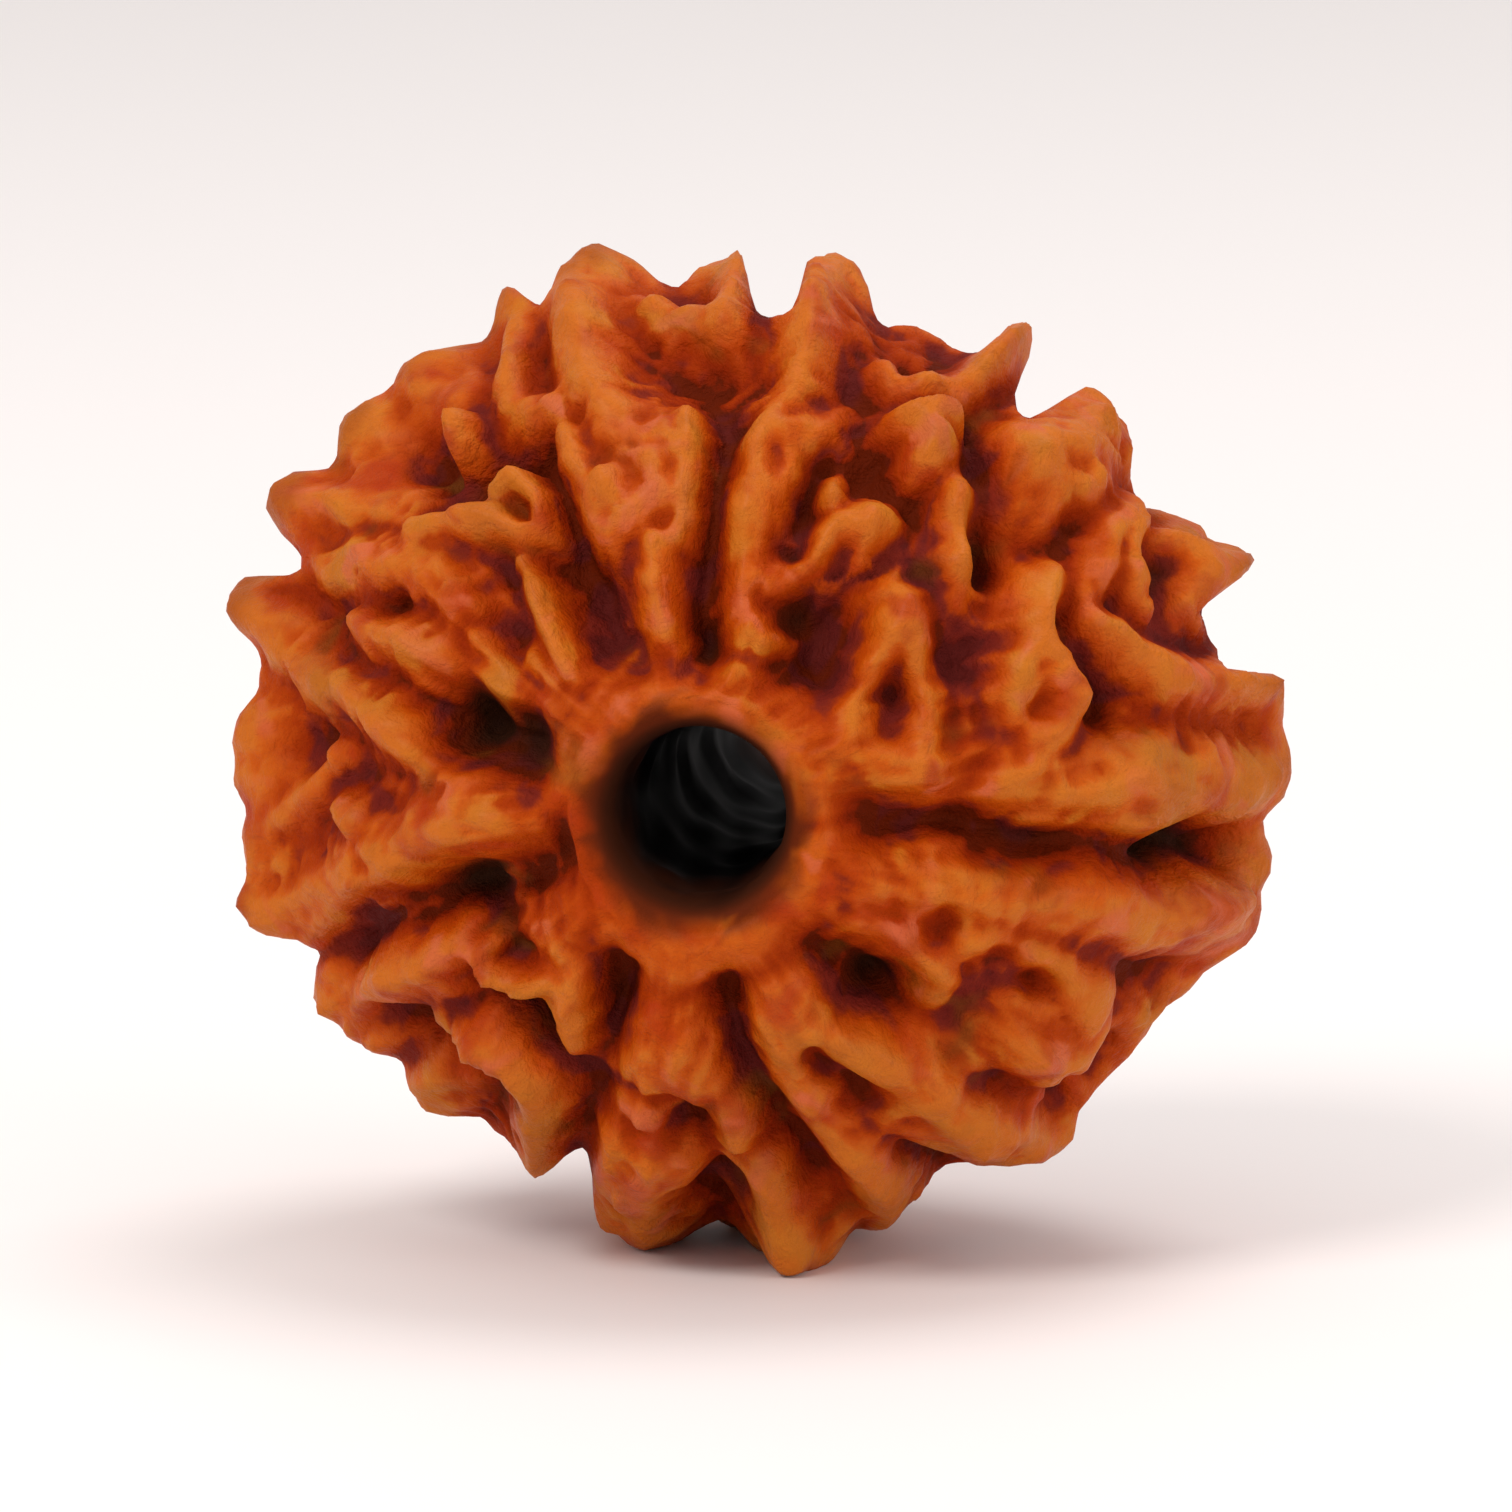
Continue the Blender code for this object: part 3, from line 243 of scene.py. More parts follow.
# grooves and pits of the front half: half-width, depth, then bearing and latitude
frontHollows = [
    (0.75, 1.1, [(90, -70), (90.5, -64), (90.3, -57), (89.8, -50), (88.8, -43), (88.3, -36)]),
    (1.2, 0.7, [(93, -27), (88, -30)]),
    (0.55, 0.8, [(114, -70), (116.5, -63), (118, -56), (118.5, -50), (118, -42),
                 (117.5, -33)]),
    (0.6, 0.6, [(118.5, -20), (117.5, -12)]),
    (0.4, 0.5, [(110.5, -34), (109.3, -40)]),
    (0.75, 1.1, [(196, -72), (198, -66), (199, -58), (200, -50), (200.5, -41), (202, -32),
                 (205, -25)]),
    (0.9, 0.8, [(207.5, -57), (212, -61), (216, -62)]),
    (0.65, 1.0, [(244, -68), (246, -62), (248, -55), (248, -47), (247.5, -38),
                 (246.5, -25)]),
    (0.65, 1.0, [(279.5, -68.5), (278, -63), (279.5, -58), (282, -52), (283, -42),
                 (284, -33), (284, -24)]),
    (0.65, 1.1, [(0, -69), (-1.5, -64), (-3, -58), (-4.5, -53), (-5.5, -46), (-6, -38),
                 (-6.8, -28), (-7.6, -19), (-8.6, -9), (-9.2, -2)]),
    (0.5, 0.35, [(-6.8, -30), (-7.6, -19), (-8.6, -9), (-9.2, -2)]),
    (0.8, 0.5, [(47, -50.5), (40, -51), (33, -54), (28, -58), (21, -56.5), (14, -56),
                (7, -57.5)]),
    (0.55, 1.0, [(56.5, -21), (53, -27.5), (49.5, -32.5), (45, -37), (40.5, -40.5)]),
    (0.4, 0.7, [(27, -36), (23.5, -35.5), (20, -35), (17, -33.5), (14, -32.5)]),
    (0.4, 0.6, [(72.5, -40), (71.5, -47), (73, -54)]),
    (0.45, 0.6, [(160, -6), (158.5, -16), (158, -26)]),
    (0.45, 0.6, [(219, -49), (225, -50.5), (232, -52.5), (238, -50.5), (242.5, -49.5)]),
    (0.5, 0.7, [(216, -24), (218, -31)]),
    (0.5, 0.6, [(312.5, -36), (314, -30), (314.5, -22), (313.5, -10)]),
    (0.45, 0.5, [(188, -4), (188.5, 2)]),
    (0.4, 0.4, [(258.5, -51), (263, -51)]),
    (1.1, 2.2, [(158.5, -56.5), (159.5, -60), (160, -64)]),
    (0.8, 1.2, [(164.5, -56.5), (163, -59)]),
    (0.7, 1.0, [(230, -52), (233.5, -51.5)]),
    (0.9, 1.2, [(269, -30), (268.5, -22), (268, -12)]),
    (0.6, 0.9, [(298, -46), (298.5, -45)]),
    (1.0, 1.3, [(316, -67), (315, -61)]),
    (0.8, 0.7, [(314, -57), (320, -48)]),
    (0.5, 0.5, [(335, -57), (334, -56)]),
    (0.55, 0.9, [(332.5, -46), (330, -40)]),
    (0.6, 1.7, [(27, -11.5), (26, -13.5)]),
    (0.9, 1.3, [(63.5, -39), (60, -41.5), (57, -40)]),
    (0.5, 0.9, [(61.5, -52), (61.5, -54)]),
    (1.1, 1.3, [(64, -62), (57, -62), (54, -67)]),
    (0.8, 0.6, [(42.5, -32.5), (38, -32)]),
    (0.35, 0.6, [(17, -46), (17, -45)]),
    (0.45, 0.45, [(34, -62.5), (28, -65)]),
    (0.5, 0.7, [(128, -34), (128, -33)]),
    (0.8, 0.9, [(137, -19), (135, -27), (131.5, -31), (126.5, -31.5), (122.5, -31)]),
    (0.6, 0.8, [(132.5, -48), (128, -49.5)]),
    (0.4, 0.6, [(151, -38.5), (150, -39.5)]),
    (0.7, 0.6, [(138.5, -55), (140, -58)]),
    (0.6, 0.5, [(183, -47.5), (183, -45.5)]),
    (0.7, 0.7, [(174.5, -27), (175, -20)]),
    (0.5, 0.8, [(217, -60), (217, -58)]),
    (0.7, 0.5, [(221, -30), (223, -36)]),
    (0.6, 0.8, [(263.5, -45.5), (266, -45.5)]),
    (0.5, 0.5, [(297, -54), (297, -52)]),
    (0.8, 0.6, [(134, -15), (134, -13)]),
    (0.4, 0.45, [(123.5, -43), (123.5, -42)]),
    (0.5, 0.4, [(67, -16), (67, -14)]),
    (0.5, 0.5, [(71.5, -24), (71.5, -22)]),
    (0.4, 0.4, [(76, -57), (76, -55)]),
    (0.55, 0.6, [(322, -19), (320.5, -12), (321.5, -6)]),
    (0.5, 0.55, [(334, -20), (333, -12), (334.5, -6)]),
    (0.5, 0.6, [(297.5, -30), (299, -20), (298, -10)]),
    (0.55, 0.6, [(325, 7), (324, 14), (326, 20)]),
]

# painted shade in darker streaks that run into the mouth: bearing, half-width and strength
lipShadeStreaks = [
    (-2, 5, 0.34), (53, 9, 0.15), (91, 6, 0.18), (124, 8, 0.12), (168, 14, 0.22),
    (204, 20, 0.36), (248, 7, 0.24), (279, 6, 0.20), (313, 8, 0.20),
]

# painted shade and painted light in patches, darker where the strength is positive and paler
# where it is negative: half-width, strength, then bearing and latitude
tonePatches = [
    (0.6, 0.45, [(356, -55.5), (350.5, -52), (349, -44.5), (349.5, -37), (350.5, -30)]),
    (0.6, 0.35, [(49, -44.5), (44, -49)]),
    (0.7, 0.25, [(33, -28.5), (33.5, -22.5)]),
    (0.7, 0.25, [(50.5, -26.5), (47, -29.5)]),
    (0.8, 0.45, [(168.5, -56), (164.5, -62), (161, -67)]),
    (0.6, -0.30, [(131, -57), (136.5, -62)]),
    (0.6, -0.25, [(197.5, -50), (194.5, -62), (190, -69.5)]),
    (0.6, -0.30, [(48.5, -36), (43, -41)]),
    (0.6, -0.35, [(91, -69), (81, -70), (63.5, -68.5)]),
    (0.6, -0.35, [(269.5, -72), (286, -70)]),
    (0.6, -0.30, [(192, -70.5), (168.5, -70)]),
    (0.6, -0.30, [(215.5, -66), (224.5, -64), (233, -60), (236.5, -57)]),
    (0.6, -0.35, [(240, -71), (248.5, -70.5)]),
    (0.6, -0.25, [(288, -49), (285, -42.5)]),
    (0.6, -0.20, [(107, -65.5), (108.5, -68.5)]),
    (0.7, -0.25, [(272, -40), (271, -35)]),
    (0.7, -0.20, [(290, -32.5), (288, -26.5)]),
    (0.5, -0.25, [(355, -32.5), (355.5, -28)]),
    (0.6, -0.20, [(148.5, -58.5), (154, -60.5)]),
]

# how the hidden half is drawn: lanes of short crests between seams that run on from the front
backHalf = {
    "seams": [88.0, 117.0, 158.0, 204.0, 247.0, 283.0, 314.0, 353.0, 396.0, 414.0, 448.0],
    "seamDrift": 3.0,
    "seamWidths": (0.5, 0.7),
    "seamDepths": (0.7, 1.1),
    "laneWidth": 13.0,
    "firstLatitudes": (4.0, 13.0),
    "lastLatitude": 66.0,
    "crestLengths": (9.0, 20.0),
    "crestGaps": (4.0, 9.0),
    "crestTurn": 5.0,
    "crestWidths": (0.7, 1.25),
    "crestHeight": 0.55,       # at the rim, lower towards the hole
    "crestSwing": 0.3,
    "branchShare": 0.45,
    "branchWidth": 0.6,
    "branchReach": 0.8,        # of a lane
    "pitShare": 0.35,
    "pitWidths": (0.5, 0.8),
    "pitDepths": (0.5, 1.1),
}


# point of the mean body = (a cos(lat) cos(bearing), b sin(lat), a cos(lat) sin(bearing))
def meanPoints(form, bearing, latitude):
    turn = np.radians(bearing)
    rise = np.radians(latitude)
    across = form["equatorRadius"] * np.cos(rise)
    along = form["poleRadius"] * np.sin(rise) + 0.0 * turn
    return np.stack([across * np.cos(turn), along, across * np.sin(turn)], axis=-1)


# closed meridian: an ellipse from mouth to mouth, a quarter ellipse for each lip, and the bore
def closedMeridian(form):
    latitude = np.linspace(-form["mouthLatitude"], form["mouthLatitude"], form["outsideStations"])
    rise = np.radians(latitude)
    radius = form["equatorRadius"] * np.cos(rise)
    along = form["poleRadius"] * np.sin(rise)
    bend = np.linspace(0.0, 0.5 * np.pi, form["mouthStations"] + 1)[1:]
    narrowing = radius[-1] - np.array([[form["frontBore"]], [form["backBore"]]])
    frontLip, backLip = radius[-1] - narrowing * np.sin(bend)
    lipAlong = along[-1] - form["mouthDepth"] * (1.0 - np.cos(bend))
    deep = np.linspace(1.0, -1.0, form["boreStations"])[1:-1]
    boreRadius = np.interp(deep, [-1.0, 1.0], [form["frontBore"], form["backBore"]])
    radius = np.concatenate([radius, backLip, boreRadius, frontLip[::-1]])
    along = np.concatenate([along, lipAlong, deep * lipAlong[-1], -lipAlong[::-1]])
    outside = np.zeros(len(radius))
    outside[:len(latitude)] = 1.0
    latitude = np.concatenate([latitude, np.full(len(radius) - len(latitude), 90.0)])
    return radius, along, latitude, outside


# 2^-(gap / width)^sharpness: one in the middle of a stroke, and a half at its half-width
def fallOff(gap, width, sharpness):
    return np.exp(-np.log(2.0) * (gap / width) ** sharpness)


# a stroke's path, and the points no further from its middle than its ends and a margin
def strokePath(form, points, line, margin):
    path = meanPoints(form, line[:, 0], line[:, 1])
    middle = path.mean(axis=0)
    reach = np.linalg.norm(path - middle, axis=1).max() + margin
    return path, np.linalg.norm(points - middle, axis=1) < reach


# gap = distance to the nearest chord of the path, with the height read there
def nearestOnPath(points, path, heights):
    gap = np.full(len(points), np.inf)
    value = np.zeros(len(points))
    for start, end, low, high in zip(path[:-1], path[1:], heights[:-1], heights[1:]):
        chord = end - start
        share = np.clip((points - start) @ chord / max(chord @ chord, 1e-9), 0.0, 1.0)
        away = np.linalg.norm(points - start - share[:, None] * chord, axis=1)
        closer = away < gap
        gap = np.where(closer, away, gap)
        value = np.where(closer, low + share * (high - low), value)
    return gap, value


# height = floor + (sum of (rise * 2^-(gap/width)^sharpness)^p)^(1/p)
def raiseCrests(form, points, floor, crests):
    total = np.zeros(len(points))
    for width, line in crests:
        width = width * form["crestSpread"]
        line = np.array(line, dtype=float)
        path, near = strokePath(form, points, line, 4.0 * width)
        gap, height = nearestOnPath(points[near], path, line[:, 2])
        shape = fallOff(gap, width, form["crestSharpness"])
        total[near] += (np.maximum(height - floor[near], 0.0) * shape) ** form["unionPower"]
    return floor + total ** (1.0 / form["unionPower"])


# sum of depth * 2^-(gap/width)^2 over all strokes
def strokeSum(form, points, strokes):
    total = np.zeros(len(points))
    for width, depth, line in strokes:
        line = np.array(line, dtype=float)
        path, near = strokePath(form, points, line, 5.0 * width)
        gap, _ = nearestOnPath(points[near], path, np.zeros(len(line)))
        total[near] += depth * fallOff(gap, width, 2)
    return total


# one groove along each seam, then lanes of short crests, some with a branch or a pit
def backRelief(back, rng):
    crests = []
    hollows = []
    widest, bend, swing = back["seamDrift"], back["crestTurn"], back["crestSwing"]
    for left, right in zip(back["seams"][:-1], back["seams"][1:]):
        drift = rng.uniform(-widest, widest)
        hollows.append((rng.uniform(*back["seamWidths"]), rng.uniform(*back["seamDepths"]),
                        [(left, 12), (left + drift, 30), (left + rng.uniform(-2, 2), 50),
                         (left + drift, 68)]))
        lanes = max(2, int(round((right - left) / back["laneWidth"])))
        for lane in range(lanes):
            bearing = left + (right - left) * (lane + 0.5) / lanes
            latitude = rng.uniform(*back["firstLatitudes"])
            while latitude < back["lastLatitude"]:
                length = rng.uniform(*back["crestLengths"])
                turn = rng.uniform(-bend, bend)
                rise = (back["crestHeight"] * np.cos(np.radians(latitude))
                        + rng.uniform(-swing, swing))
                middle = latitude + 0.5 * length
                crests.append((rng.uniform(*back["crestWidths"]),
                               [(bearing - 0.5 * turn, latitude, rise - 0.2),
                                (bearing + rng.uniform(-2, 2), middle, rise),
                                (bearing + 0.5 * turn, latitude + length, rise - 0.3)]))
                if rng.random() < back["branchShare"]:
                    side = (bearing + rng.choice([-1.0, 1.0]) * (right - left) / lanes
                            * back["branchReach"])
                    crests.append((back["branchWidth"],
                                   [(bearing, middle, rise - 0.2),
                                    (side, middle + rng.uniform(-4, 4), rise - 0.5)]))
                if rng.random() < back["pitShare"]:
                    hollows.append((rng.uniform(*back["pitWidths"]),
                                    rng.uniform(*back["pitDepths"]),
                                    [(bearing + 0.5 * turn, latitude + length + 2.0),
                                     (bearing + turn, latitude + length + 4.0)]))
                latitude += length + rng.uniform(*back["crestGaps"])
    return crests, hollows


# reach of the outline, straight between the listed places
def outlineReach(bearing):
    table = np.array(outline)
    angles = np.concatenate([table[-1:, 0] - 360.0, table[:, 0], table[:1, 0] + 360.0])
    reaches = np.concatenate([table[-1:, 1], table[:, 1], table[:1, 1]])
    return np.interp(np.mod(bearing, 360.0), angles, reaches)


# crests where the outline lies, as high as it: latitude = azimuth cos(bearing) + elevation
# sin(bearing)
def rimCrests(form, rng):
    crests = []
    for start in range(0, 360, form["rimPiece"]):
        bearing = np.arange(start, start + form["rimPiece"] + 1.0)
        turn = np.radians(bearing)
        latitude = form["outlineAzimuth"] * np.cos(turn) + form["outlineElevation"] * np.sin(turn)
        height = outlineReach(bearing) - form["equatorRadius"]
        crests.append((rng.uniform(*form["rimWidths"]), list(zip(bearing, latitude, height))))
    return crests


# height - s * log(1 + exp((height - limit) / s)), the limit being what the outline leaves
def keepToOutline(form, points, normals, height):
    turn = np.radians(form["outlineAzimuth"])
    tilt = np.radians(form["outlineElevation"])
    right = np.array([np.cos(turn), np.sin(turn), 0.0])
    up = np.array([-np.sin(turn) * np.sin(tilt), np.cos(turn) * np.sin(tilt), np.cos(tilt)])
    across = points @ right
    rise = points @ up
    spread = np.hypot(across, rise)
    bearing = np.degrees(np.arctan2(rise, across))
    lean = (normals @ right * across + normals @ up * rise) / np.maximum(spread, 1e-6)
    limit = (outlineReach(bearing) - spread) / np.clip(lean, form["leastLean"], 1.0)
    over = (height - limit) / form["outlineSoftness"]
    return height - form["outlineSoftness"] * np.logaddexp(0.0, over)


# sum of sines in all directions, divided by the root of half their number
def waveSum(points, rng, lengths, count):
    total = np.zeros(len(points))
    for _ in range(count):
        direction = rng.normal(size=3)
        direction /= np.linalg.norm(direction)
        length = rng.uniform(*lengths)
        total += np.sin(points @ direction * 2.0 * np.pi / length + rng.uniform(*anyPhase))
    return total / np.sqrt(0.5 * count)


# points moved along each axis by a wave sum of its own
def pushedAbout(points, rng, amount, lengths):
    return points + amount * np.stack([waveSum(points, rng, lengths, 6) for _ in range(3)],
                                      axis=-1)


# form height = crests over the floor and the collar - hollows + slow waves
def formHeight(form, points, collar, rng):
    floor = form["floorLevel"] + (form["collarLevel"] - form["floorLevel"]) * collar
    backCrests, backHollows = backRelief(backHalf, rng)
    crests = frontCrests + restCrests + backCrests + rimCrests(form, rng)
    height = raiseCrests(form, points, floor, crests)
    crest = (height - floor) / -form["floorLevel"]
    wobble = np.random.default_rng(form["hollowSeed"])
    pushed = pushedAbout(points, wobble, form["hollowWobble"], form["wobbleLengths"])
    cut = strokeSum(form, pushed, frontHollows + backHollows)
    mean, swing = form["hollowDepth"]
    cut = cut * (mean + swing * waveSum(points, wobble, form["depthLengths"],
                                        form["depthWaves"]))
    height = height - cut
    waves = waveSum(points, rng, form["undulationLengths"], form["undulationWaves"])
    height += form["undulation"] * waves * (1.0 - form["collarCalm"] * collar)
    return height, crest, cut


# relief finer than the form, in millimetres
beadSkin = {
    "wrinkleHeight": 0.080,
    "wrinkleLengths": (0.7, 2.0),
    "wrinkleWaves": 22,
    "wrinkleGrain": (1.0, 0.55, 1.0),   # the waves keep away from the direction of the hole
    "wrinkleCalm": 0.2,        # share of the wrinkles that the collar loses
    "warp": 0.55,
    "warpLengths": (3.0, 6.0),
    "streakHeight": 0.12,
    "streakWaves": 7,
    "streakCounts": (22, 58),  # furrows round the bead
    "streakTwist": 2.0,
    "streakBends": (1.0, 2.5),
    "bendLengths": (6.0, 12.0),
    "streakCalm": 0.4,
    "streakEnd": 76.0,         # latitude where they end, after a fade
    "streakFade": 6.0,
    "rimGrain": 0.6,           # share kept where the outline takes the height away
    "rimGrainDepth": 0.2,
    "boreLumps": 0.07,
    "lumpLengths": (1.2, 3.0),
    "lumpWaves": 10,
}


# wrinkle = sum of (1 - 2 |sin|) over waves, divided by the root of their number, at points that
# slow waves push about first
def wrinkles(skin, points, rng):
    pushed = pushedAbout(points, rng, skin["warp"], skin["warpLengths"])
    total = np.zeros(len(points))
    for _ in range(skin["wrinkleWaves"]):
        direction = rng.normal(size=3) * np.array(skin["wrinkleGrain"])
        direction /= np.linalg.norm(direction)
        length = rng.uniform(*skin["wrinkleLengths"])
        total += 1.0 - 2.0 * np.abs(np.sin(pushed @ direction * np.pi / length
                                           + rng.uniform(*anyPhase)))
    return total / np.sqrt(skin["wrinkleWaves"])


# streak = sum of (1 - 2 |sin(n bearing / 2 + bend)|) over waves, divided by the root of their
# number: sharp furrows from hole to hole
def streaks(skin, bearing, rise, points, rng):
    twist = skin["streakTwist"]
    total = np.zeros(len(points))
    for _ in range(skin["streakWaves"]):
        count = rng.integers(*skin["streakCounts"])
        bend = rng.uniform(-twist, twist) * rise + rng.uniform(*skin["streakBends"]) * waveSum(
            points, rng, skin["bendLengths"], 3)
        total += 1.0 - 2.0 * np.abs(np.sin(0.5 * count * bearing + bend
                                           + rng.uniform(*anyPhase)))
    return total / np.sqrt(skin["streakWaves"])


# fine height = wrinkles + streaks, both calmer on the collar; the streaks also fade like the
# root of cos(lat) and end before the mouth
def fineHeight(skin, points, bearing, latitude, collar, rng):
    rise = np.radians(latitude)
    height = (skin["wrinkleHeight"] * wrinkles(skin, points, rng)
              * (1.0 - skin["wrinkleCalm"] * collar))
    height += (skin["streakHeight"] * streaks(skin, bearing, rise, points, rng)
               * (1.0 - skin["streakCalm"] * collar)
               * np.clip((skin["streakEnd"] - np.abs(latitude)) / skin["streakFade"], 0.0, 1.0)
               * np.maximum(np.cos(rise), 0.0) ** 0.5)
    return height


# mean of the four neighbours, again and again, on a sheet that closes both ways
def smoothed(sheet, times):
    for _ in range(times):
        sheet = 0.25 * (np.roll(sheet, 1, 0) + np.roll(sheet, -1, 0)
                        + np.roll(sheet, 1, 1) + np.roll(sheet, -1, 1))
    return sheet


# normal of the sheet = cross product of its two central differences
def sheetNormals(points):
    byBearing = np.roll(points, -1, 0) - np.roll(points, 1, 0)
    byStation = np.roll(points, -1, 1) - np.roll(points, 1, 1)
    normal = np.cross(byBearing, byStation)
    return normal / np.maximum(np.linalg.norm(normal, axis=-1, keepdims=True), 1e-9)


# what the colours follow besides the form itself
beadMarks = {
    "sharpSteps": 8,           # smoothing that edges stand out from
    "broadSteps": 90,          # smoothing that whole lobes stand out from
    "lipRadius": 3.35,         # painted shade: the lip darkens inwards from here, mm
    "lipFade": 0.8,
    "shadeStart": 56.0,        # latitude where the painted shade streaks of the mouth begin
    "shadeFade": 12.0,
    "shadeWander": 5.0,        # degrees
    "wanderLengths": (2.0, 5.0),
    "backTurn": 137.0,         # the back mouth has the same streaks, turned by this
}


# painted shade = sum of strength * 2^-(turn away / width)^2, in a ring that grows towards the
# mouth
def mouthShade(marks, seed, points, bearing, steep):
    wander = waveSum(points, np.random.default_rng(seed), marks["wanderLengths"], 6)
    bearing = (np.degrees(bearing) + marks["shadeWander"] * wander
               + np.where(points[:, 1] > 0.0, marks["backTurn"], 0.0))
    ring = np.clip((steep - marks["shadeStart"]) / marks["shadeFade"], 0.0, 1.0)
    total = np.zeros(len(points))
    for middle, width, strength in lipShadeStreaks:
        away = np.mod(bearing - middle + 180.0, 360.0) - 180.0
        total += strength * fallOff(away, width, 2)
    return total * ring ** 2 * (3.0 - 2.0 * ring)


# fine and broad = how far the surface stands out from itself smoothed a little and a lot
def standingOut(marks, points, normals):
    outward = sheetNormals(points)
    if np.sum(outward * normals) < 0.0:
        outward = -outward
    fine = np.sum((points - smoothed(points, marks["sharpSteps"])) * outward, axis=-1)
    broad = np.sum((points - smoothed(points, marks["broadSteps"])) * outward, axis=-1)
    return fine, broad


# a mesh from a sheet of points, with one value of each field at every point
def meshFromSheet(name, points, closed, fields):
    rows, columns = points.shape[:2]
    corner = np.arange(rows * columns).reshape(rows, columns)
    ahead = np.roll(corner, -1, axis=0)
    quads = np.stack([corner, ahead, np.roll(ahead, -1, axis=1), np.roll(corner, -1, axis=1)],
                     axis=-1)
    quads = (quads if closed else quads[:, :-1]).reshape(-1, 4)
    mesh = bpy.data.meshes.new(name)
    mesh.vertices.add(rows * columns)
    mesh.vertices.foreach_set("co", points.reshape(-1).astype(np.float32))
    mesh.loops.add(quads.size)
    mesh.loops.foreach_set("vertex_index", quads.reshape(-1).astype(np.int32))
    mesh.polygons.add(len(quads))
    mesh.polygons.foreach_set("loop_start", np.arange(0, quads.size, 4, dtype=np.int32))
    mesh.update(calc_edges=True)
    mesh.shade_smooth()
    for field, values in fields.items():
        layer = mesh.attributes.new(field, "FLOAT", "POINT")
        layer.data.foreach_set("value", values.reshape(-1).astype(np.float32))
    piece = bpy.data.objects.new(name, mesh)
    bpy.context.scene.collection.objects.link(piece)
    return piece


# point = smooth body + normal * (form + fine height), and z = max(z, 0) where it stands; a share
# of the fine height is put back where the outline limits the height
def makeBead(form, skin, marks):
    rng = np.random.default_rng(form["seed"])
    radius, along, latitude, outside = closedMeridian(form)
    stepRadius = np.roll(radius, -1) - np.roll(radius, 1)
    stepAlong = np.roll(along, -1) - np.roll(along, 1)
    length = np.hypot(stepRadius, stepAlong)
    turn = np.linspace(0.0, 2.0 * np.pi, form["bearings"], endpoint=False)[:, None]
    body = np.stack([radius * np.cos(turn), along + 0.0 * turn, radius * np.sin(turn)], axis=-1)
    normals = np.stack([stepAlong / length * np.cos(turn), -stepRadius / length + 0.0 * turn,
                        stepAlong / length * np.sin(turn)], axis=-1)
    shape = body.shape
    points = body.reshape(-1, 3)
    normals = normals.reshape(-1, 3)
    bearing = np.repeat(turn[:, 0], shape[1])
    depth = along[form["outsideStations"] - 1] - form["mouthDepth"] - np.abs(along)
    depth = np.clip(np.where(outside > 0.0, -1.0, depth), -1.0, 8.0)   # into the bore, mm
    radius, latitude, outside, depth = (np.tile(values, form["bearings"])
                                        for values in (radius, latitude, outside, depth))
    steep = np.abs(latitude)

    collar = np.clip((steep - form["collarStart"]) / (form["collarEnd"] - form["collarStart"]),
                     0.0, 1.0)
    collar = collar ** 2 * (3.0 - 2.0 * collar)
    height, crest, cut = formHeight(form, points, collar, rng)
    relief = fineHeight(skin, points, bearing, latitude, collar, rng)
    kept = keepToOutline(form, points, normals, height + relief)
    lost = np.clip((height + relief - kept) / skin["rimGrainDepth"], 0.0, 1.0)
    height = kept + skin["rimGrain"] * relief * lost
    # painted shade round the mouth, plus the painted shade and light of the tone patches
    paintedShading = (mouthShade(marks, form["seed"] + 1, points, bearing, steep)
             + strokeSum(form, points, tonePatches))
    lumps = skin["boreLumps"] * waveSum(points, np.random.default_rng(form["seed"] + 2),
                                        skin["lumpLengths"], skin["lumpWaves"])
    inside = np.clip(depth, 0.0, 1.0)
    points = points + normals * (height * outside + lumps * inside)[:, None]
    points[:, 2] = np.maximum(points[:, 2] + form["standingHeight"], 0.0)
    points = points.reshape(shape)
    fine, broad = standingOut(marks, points, normals.reshape(shape))
    fields = {
        "crest": np.clip(crest, 0.0, 2.5),
        "cut": np.clip(cut, 0.0, 2.0),
        "fine": fine,
        "broad": broad,
        "tall": np.hypot(points[..., 0], points[..., 2] - form["standingHeight"]),
        "bore": np.clip((marks["lipRadius"] - radius) / marks["lipFade"], -1.0, 1.5),
        "paintedShading": paintedShading,
        "depth": depth,
    }
    return points * mm, fields


